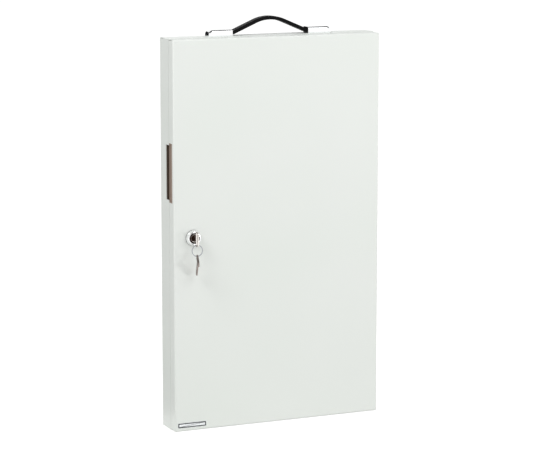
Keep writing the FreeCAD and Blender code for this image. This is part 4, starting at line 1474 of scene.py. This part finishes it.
@dataclass
class KeySet:
    """Two stamped keys on a split ring, one of them in the lock."""

    thickness: float = 1.7
    bow: Pair = (8.5, 20.0)
    bow_corner: float = 4.0
    hole_width: float = 4.8
    hole_half: float = 8.7
    rim: float = 1.3
    blade: Pair = (21.2, 6.5)
    weld: float = 1.0
    tip: float = 1.8
    bits: int = 4
    bit_pitch: float = 2.8
    bit_depth: float = 1.2
    first_bit: float = 0.8
    shallower: float = 0.4
    groove: Pair = (0.45, 1.3)
    groove_start: float = 1.5
    groove_offset: float = 0.9
    edge: float = 0.25
    slivers: float = 0.05
    side_limit: float = 0.5
    bow_y: float = -42.7
    ring_y: float = -39.0
    ring_z: Span = (242.4, 257.2)
    ring_radius: float = 7.4
    ring_steps: int = 144
    wire: Pair = (1.1, 0.4)
    wire_round: float = 0.3
    coils: int = 2
    coil_pitch: float = 0.42
    spare_hole_z: float = 240.9
    spare_twist: float = 14.0
    spare_tilt: float = 33.0

    def blank(self) -> Solid:
        """Makes a key along +Y, the outer end of its bow at the origin.

        Returns:
            The key; its stamped edges have the second material.
        """
        sheet = around(0, self.thickness)
        length, height = self.bow
        bow = block(sheet, (0, length), around(0, height))
        round_edges(bow, edges_along(bow, Axis.X), self.bow_corner, 10)
        reach, width = self.blade
        tip_y = length + reach
        blade = block(sheet, (length - self.weld, tip_y), around(0, width))
        round_edges(blade, edges_along(blade, Axis.X, {Axis.Y: tip_y}), self.tip, 1)
        key = combine(bow, [blade], Join.WELD)
        hole_y = around(self.rim + self.hole_width / 2, self.hole_width)
        hole = block((sheet[0] - OVERCUT, sheet[1] + OVERCUT), hole_y, (-self.hole_half, self.hole_half))
        round_edges(hole, edges_along(hole, Axis.X), self.hole_width / 2 - HAIR, 10)
        key = combine(key, [hole] + self.notches(tip_y, width / 2), Join.CUT)
        key = round_edges(key, sharp_edges(key), self.edge, 2)
        depth, groove = self.groove
        cuts = []
        for side, face in zip((-1, 1), sheet):
            cuts.append(block(ordered(face - side * depth, face + side * OVERCUT),
                              (length + self.groove_start, tip_y + OVERCUT),
                              around(side * self.groove_offset, groove)))
        key = combine(key, cuts, Join.CUT)
        bmesh.ops.remove_doubles(key, verts=key.verts, dist=self.slivers)
        key.normal_update()
        # The material follows which way a face turns, so the two nickels paint light and shade onto the
        # key.
        for face in key.faces:
            face.material_index = int(abs(face.normal.x) < self.side_limit)
        return key

    def notches(self, tip_y: float, half: float) -> list[Solid]:
        """Makes the cuts along the blade's lower edge, alternately deep and shallow.

        Args:
            tip_y: where the blade ends.
            half: half of the blade's width.

        Returns:
            The cuts.
        """
        cuts = []
        for number in range(self.bits):
            y = tip_y - self.tip - self.bit_pitch * (number + self.first_bit)
            depth = self.bit_depth * (1 - self.shallower * (number % 2))
            side = around(0, depth * math.sqrt(2))
            cut = block((-self.thickness, self.thickness), side, side)
            cuts.append(placed(cut, Matrix.Rotation(math.pi / 4, 3, "X"), (0, y, -half)))
        return cuts

    def split_ring(self) -> Solid:
        """Makes the ring: a flat wire coiled twice round.

        Returns:
            The ring in its place.
        """
        radial, across = self.wire
        bm = bmesh.new()
        corners = [(-1, -1), (1, -1), (1, 1), (-1, 1)]
        verts = [bm.verts.new((self.ring_radius + a * radial / 2, b * across / 2, 0)) for a, b in corners]
        bm.faces.new(verts)
        round_corners(bm, verts, across * self.wire_round, 2)
        face = bm.faces[:][0]
        rise = self.coils * self.coil_pitch
        bmesh.ops.translate(bm, vec=(0, -rise / 2, 0), verts=bm.verts)
        bmesh.ops.spin(bm, geom=[face] + face.edges[:] + face.verts[:], axis=(0, 1, 0), cent=(0, 0, 0),
                       dvec=(0, rise / self.ring_steps, 0), angle=self.coils * math.tau,
                       steps=self.ring_steps, use_merge=False)
        bmesh.ops.remove_doubles(bm, verts=bm.verts, dist=TOLERANCE)
        bmesh.ops.recalc_face_normals(bm, faces=bm.faces)
        bmesh.ops.translate(bm, vec=(LOCK[0], self.ring_y, sum(self.ring_z) / 2), verts=bm.verts)
        return bm

    def hanging(self) -> Solid:
        """Makes the spare key, hung on the ring by one end of its bow's hole.

        Returns:
            The key in its place.
        """
        key = self.blank()
        hole_end = Vector((0, self.rim + self.hole_width / 2, self.hole_half - self.hole_width / 2))
        tilt = Matrix.Rotation(math.radians(self.spare_tilt - 90), 3, "X")
        turn = Matrix.Rotation(math.radians(-self.spare_twist), 3, "Z") @ tilt
        bmesh.ops.rotate(key, cent=hole_end, matrix=turn, verts=key.verts)
        place = Vector((LOCK[0], self.ring_y, self.spare_hole_z))
        bmesh.ops.translate(key, vec=place - hole_end, verts=key.verts)
        return key

    def build(self, palette: Palette) -> None:
        """Makes both keys and the ring.

        Args:
            palette: the cabinet's materials.
        """
        in_lock = self.blank()
        bmesh.ops.translate(in_lock, vec=(LOCK[0], self.bow_y, LOCK[1]), verts=in_lock.verts)
        bright = Piece("bright_key", "key", "key_nickel", ("key",))
        bright.finish(in_lock, palette.dull_nickel, palette.highlight_nickel)
        spare = Piece("hanging_key", "spare", "key_nickel", ("spare_key",))
        # The spare's edges take the darker nickel as painted shade.
        spare.finish(self.hanging(), palette.dull_nickel, palette.shaded_stamped_edge)
        Piece("split_ring", "ring", "key_nickel", ("key_ring",)).finish(self.split_ring(), palette.steel)


# ---------------------------------------------------------------- studio


@dataclass(frozen=True)
class Lamp:
    """A square soft lamp: where it is, in metres, and how large and strong."""

    name: str
    place: Point
    size: float
    watts: float


@dataclass(frozen=True)
class Card:
    """A dark card that only reflections see, to give chrome its dark lines.

    Its corners are in order, in metres; more than four make further folds.
    """

    name: str
    corners: tuple[Point, ...]


@dataclass
class Studio:
    """Pale floor, soft studio light and the camera, in metres."""

    lens: float = 154.5
    sensor: float = 36.0
    yaw: float = 23.53
    pitch: float = 9.67
    distance: float = 3.136
    aim: Point = (-0.0116, -0.024, 0.2747)
    ambient: float = 0.615
    floor_half: float = 40.0
    floor_colour: str = "D8D8D6"
    floor_lift: float = 0.65
    card_colour: str = "1A1B1E"
    lamps: tuple[Lamp, ...] = (
        Lamp("key_light", (1.85, -1.8, 0.4), 0.35, 11.0),
        Lamp("top_light", (0.35, -1.0, 1.5), 0.7, 4.8),
        Lamp("fill_light", (-1.6, -0.7, 1.9), 0.9, 22.5),
    )
    cards: tuple[Card, ...] = (
        Card("overhead_card", ((-2.2, -1.5, 1.6), (2.2, -1.5, 1.6), (-2.2, 1.5, 1.6), (2.2, 1.5, 1.6))),
        Card("back_card", ((-0.17, 0.06, 0.002), (-1.8, 0.06, 0.002), (-0.17, 0.9, 0.002),
                           (-1.8, 0.9, 0.002), (-0.17, 1.0, 0.9), (-1.8, 1.0, 0.9))),
    )

    def stand(self, name: str, data: bpy.types.ID, place: Vector) -> bpy.types.Object:
        """Puts a camera or a lamp in its place, facing the cabinet's middle.

        Args:
            name: the object's name.
            data: the camera or the lamp.
            place: where it stands.

        Returns:
            Its object.
        """
        made = in_scene(name, data)
        made.location = place
        made.rotation_mode = "QUATERNION"
        made.rotation_quaternion = (Vector(self.aim) - place).to_track_quat("-Z", "Y")
        return made

    def camera(self) -> None:
        """Places the camera to the left of the front, a little above."""
        yaw, pitch = math.radians(self.yaw), math.radians(self.pitch)
        back = Vector((-math.sin(yaw) * math.cos(pitch), -math.cos(yaw) * math.cos(pitch), math.sin(pitch)))
        data = bpy.data.cameras.new("camera")
        data.lens = self.lens
        data.sensor_width = self.sensor
        camera = self.stand("camera", data, Vector(self.aim) + back * self.distance)
        bpy.context.scene.camera = camera

    def light(self, lamp: Lamp) -> None:
        """Hangs one lamp.

        Args:
            lamp: the lamp.
        """
        data = bpy.data.lights.new(lamp.name, "AREA")
        data.shape = "SQUARE"
        data.size = lamp.size
        data.energy = lamp.watts
        self.stand(lamp.name, data, Vector(lamp.place))

    def world(self) -> None:
        """Makes the surroundings: white where they are seen or mirrored, softer as light."""
        world = bpy.data.worlds.new("surroundings")
        bpy.context.scene.world = world
        tree = emptied(world)
        rays = add_node(tree, "ShaderNodeLightPath").outputs
        seen = rays["Is Camera Ray"]
        for ray in ("Is Glossy Ray", "Is Transmission Ray"):
            either = add_node(tree, "ShaderNodeMath", {"operation": "MAXIMUM"}, {0: seen, 1: rays[ray]})
            seen = either.outputs[0]
        white = add_node(tree, "ShaderNodeBackground", {"Color": linear("FFFFFF"), "Strength": 1.0})
        soft = add_node(tree, "ShaderNodeBackground", {"Color": linear("FDFEFF"), "Strength": self.ambient})
        mixed = add_node(tree, "ShaderNodeMixShader", None,
                         {0: seen, 1: soft.outputs[0], 2: white.outputs[0]})
        add_node(tree, "ShaderNodeOutputWorld", None, {"Surface": mixed.outputs[0]})

    def floor(self) -> None:
        """Lays a white floor that keeps the cabinet's soft shadow."""
        bm = bmesh.new()
        bmesh.ops.create_grid(bm, x_segments=1, y_segments=1, size=self.floor_half)
        floor = in_scene("floor", as_mesh(bm, "floor"))
        material = bpy.data.materials.new("white_paper_floor")
        tree = emptied(material)
        rays = add_node(tree, "ShaderNodeLightPath").outputs
        seen = add_node(tree, "ShaderNodeMath", {"operation": "MAXIMUM"},
                        {0: rays["Is Camera Ray"], 1: rays["Is Glossy Ray"]})
        lift = add_node(tree, "ShaderNodeMath", {"operation": "MULTIPLY", 1: self.floor_lift},
                        {0: seen.outputs[0]})
        paper = add_node(tree, "ShaderNodeBsdfDiffuse", {"Color": linear(self.floor_colour)})
        glow = add_node(tree, "ShaderNodeEmission", {"Color": linear("FFFFFF")},
                        {"Strength": lift.outputs[0]})
        mixed = add_node(tree, "ShaderNodeAddShader", None, {0: paper.outputs[0], 1: glow.outputs[0]})
        add_node(tree, "ShaderNodeOutputMaterial", None, {"Surface": mixed.outputs[0]})
        floor.data.materials.append(material)

    def hang(self, card: Card) -> None:
        """Hangs one card.

        Args:
            card: the card.
        """
        bm = bmesh.new()
        verts = [bm.verts.new(corner) for corner in card.corners]
        for first in range(0, len(verts) - 2, 2):
            bm.faces.new((verts[first], verts[first + 1], verts[first + 3], verts[first + 2]))
        hung = in_scene(card.name, as_mesh(bm, card.name))
        material = bpy.data.materials.new(card.name)
        tree = emptied(material)
        felt = add_node(tree, "ShaderNodeBsdfDiffuse", {"Color": linear(self.card_colour)})
        add_node(tree, "ShaderNodeOutputMaterial", None, {"Surface": felt.outputs[0]})
        hung.data.materials.append(material)
        for ray in ("camera", "diffuse", "transmission", "volume_scatter", "shadow"):
            setattr(hung, "visible_" + ray, False)

    def build(self) -> None:
        """Sets up the whole studio."""
        bpy.context.scene.view_settings.view_transform = "Standard"
        self.camera()
        self.world()
        self.floor()
        for lamp in self.lamps:
            self.light(lamp)
        for card in self.cards:
            self.hang(card)


def main() -> None:
    """Builds the cabinet's looks round its frame."""
    logging.basicConfig(level=logging.INFO, format="%(name)s: %(message)s")
    palette = Palette()
    Studio().build()
    for assembly in (Case(), Door(), FingerGrip(), Hinges(), StrapHandle(), CamLock(), KeySet()):
        assembly.build(palette)
        LOG.info("%s done", type(assembly).__name__)


if __name__ == "__main__":
    main()
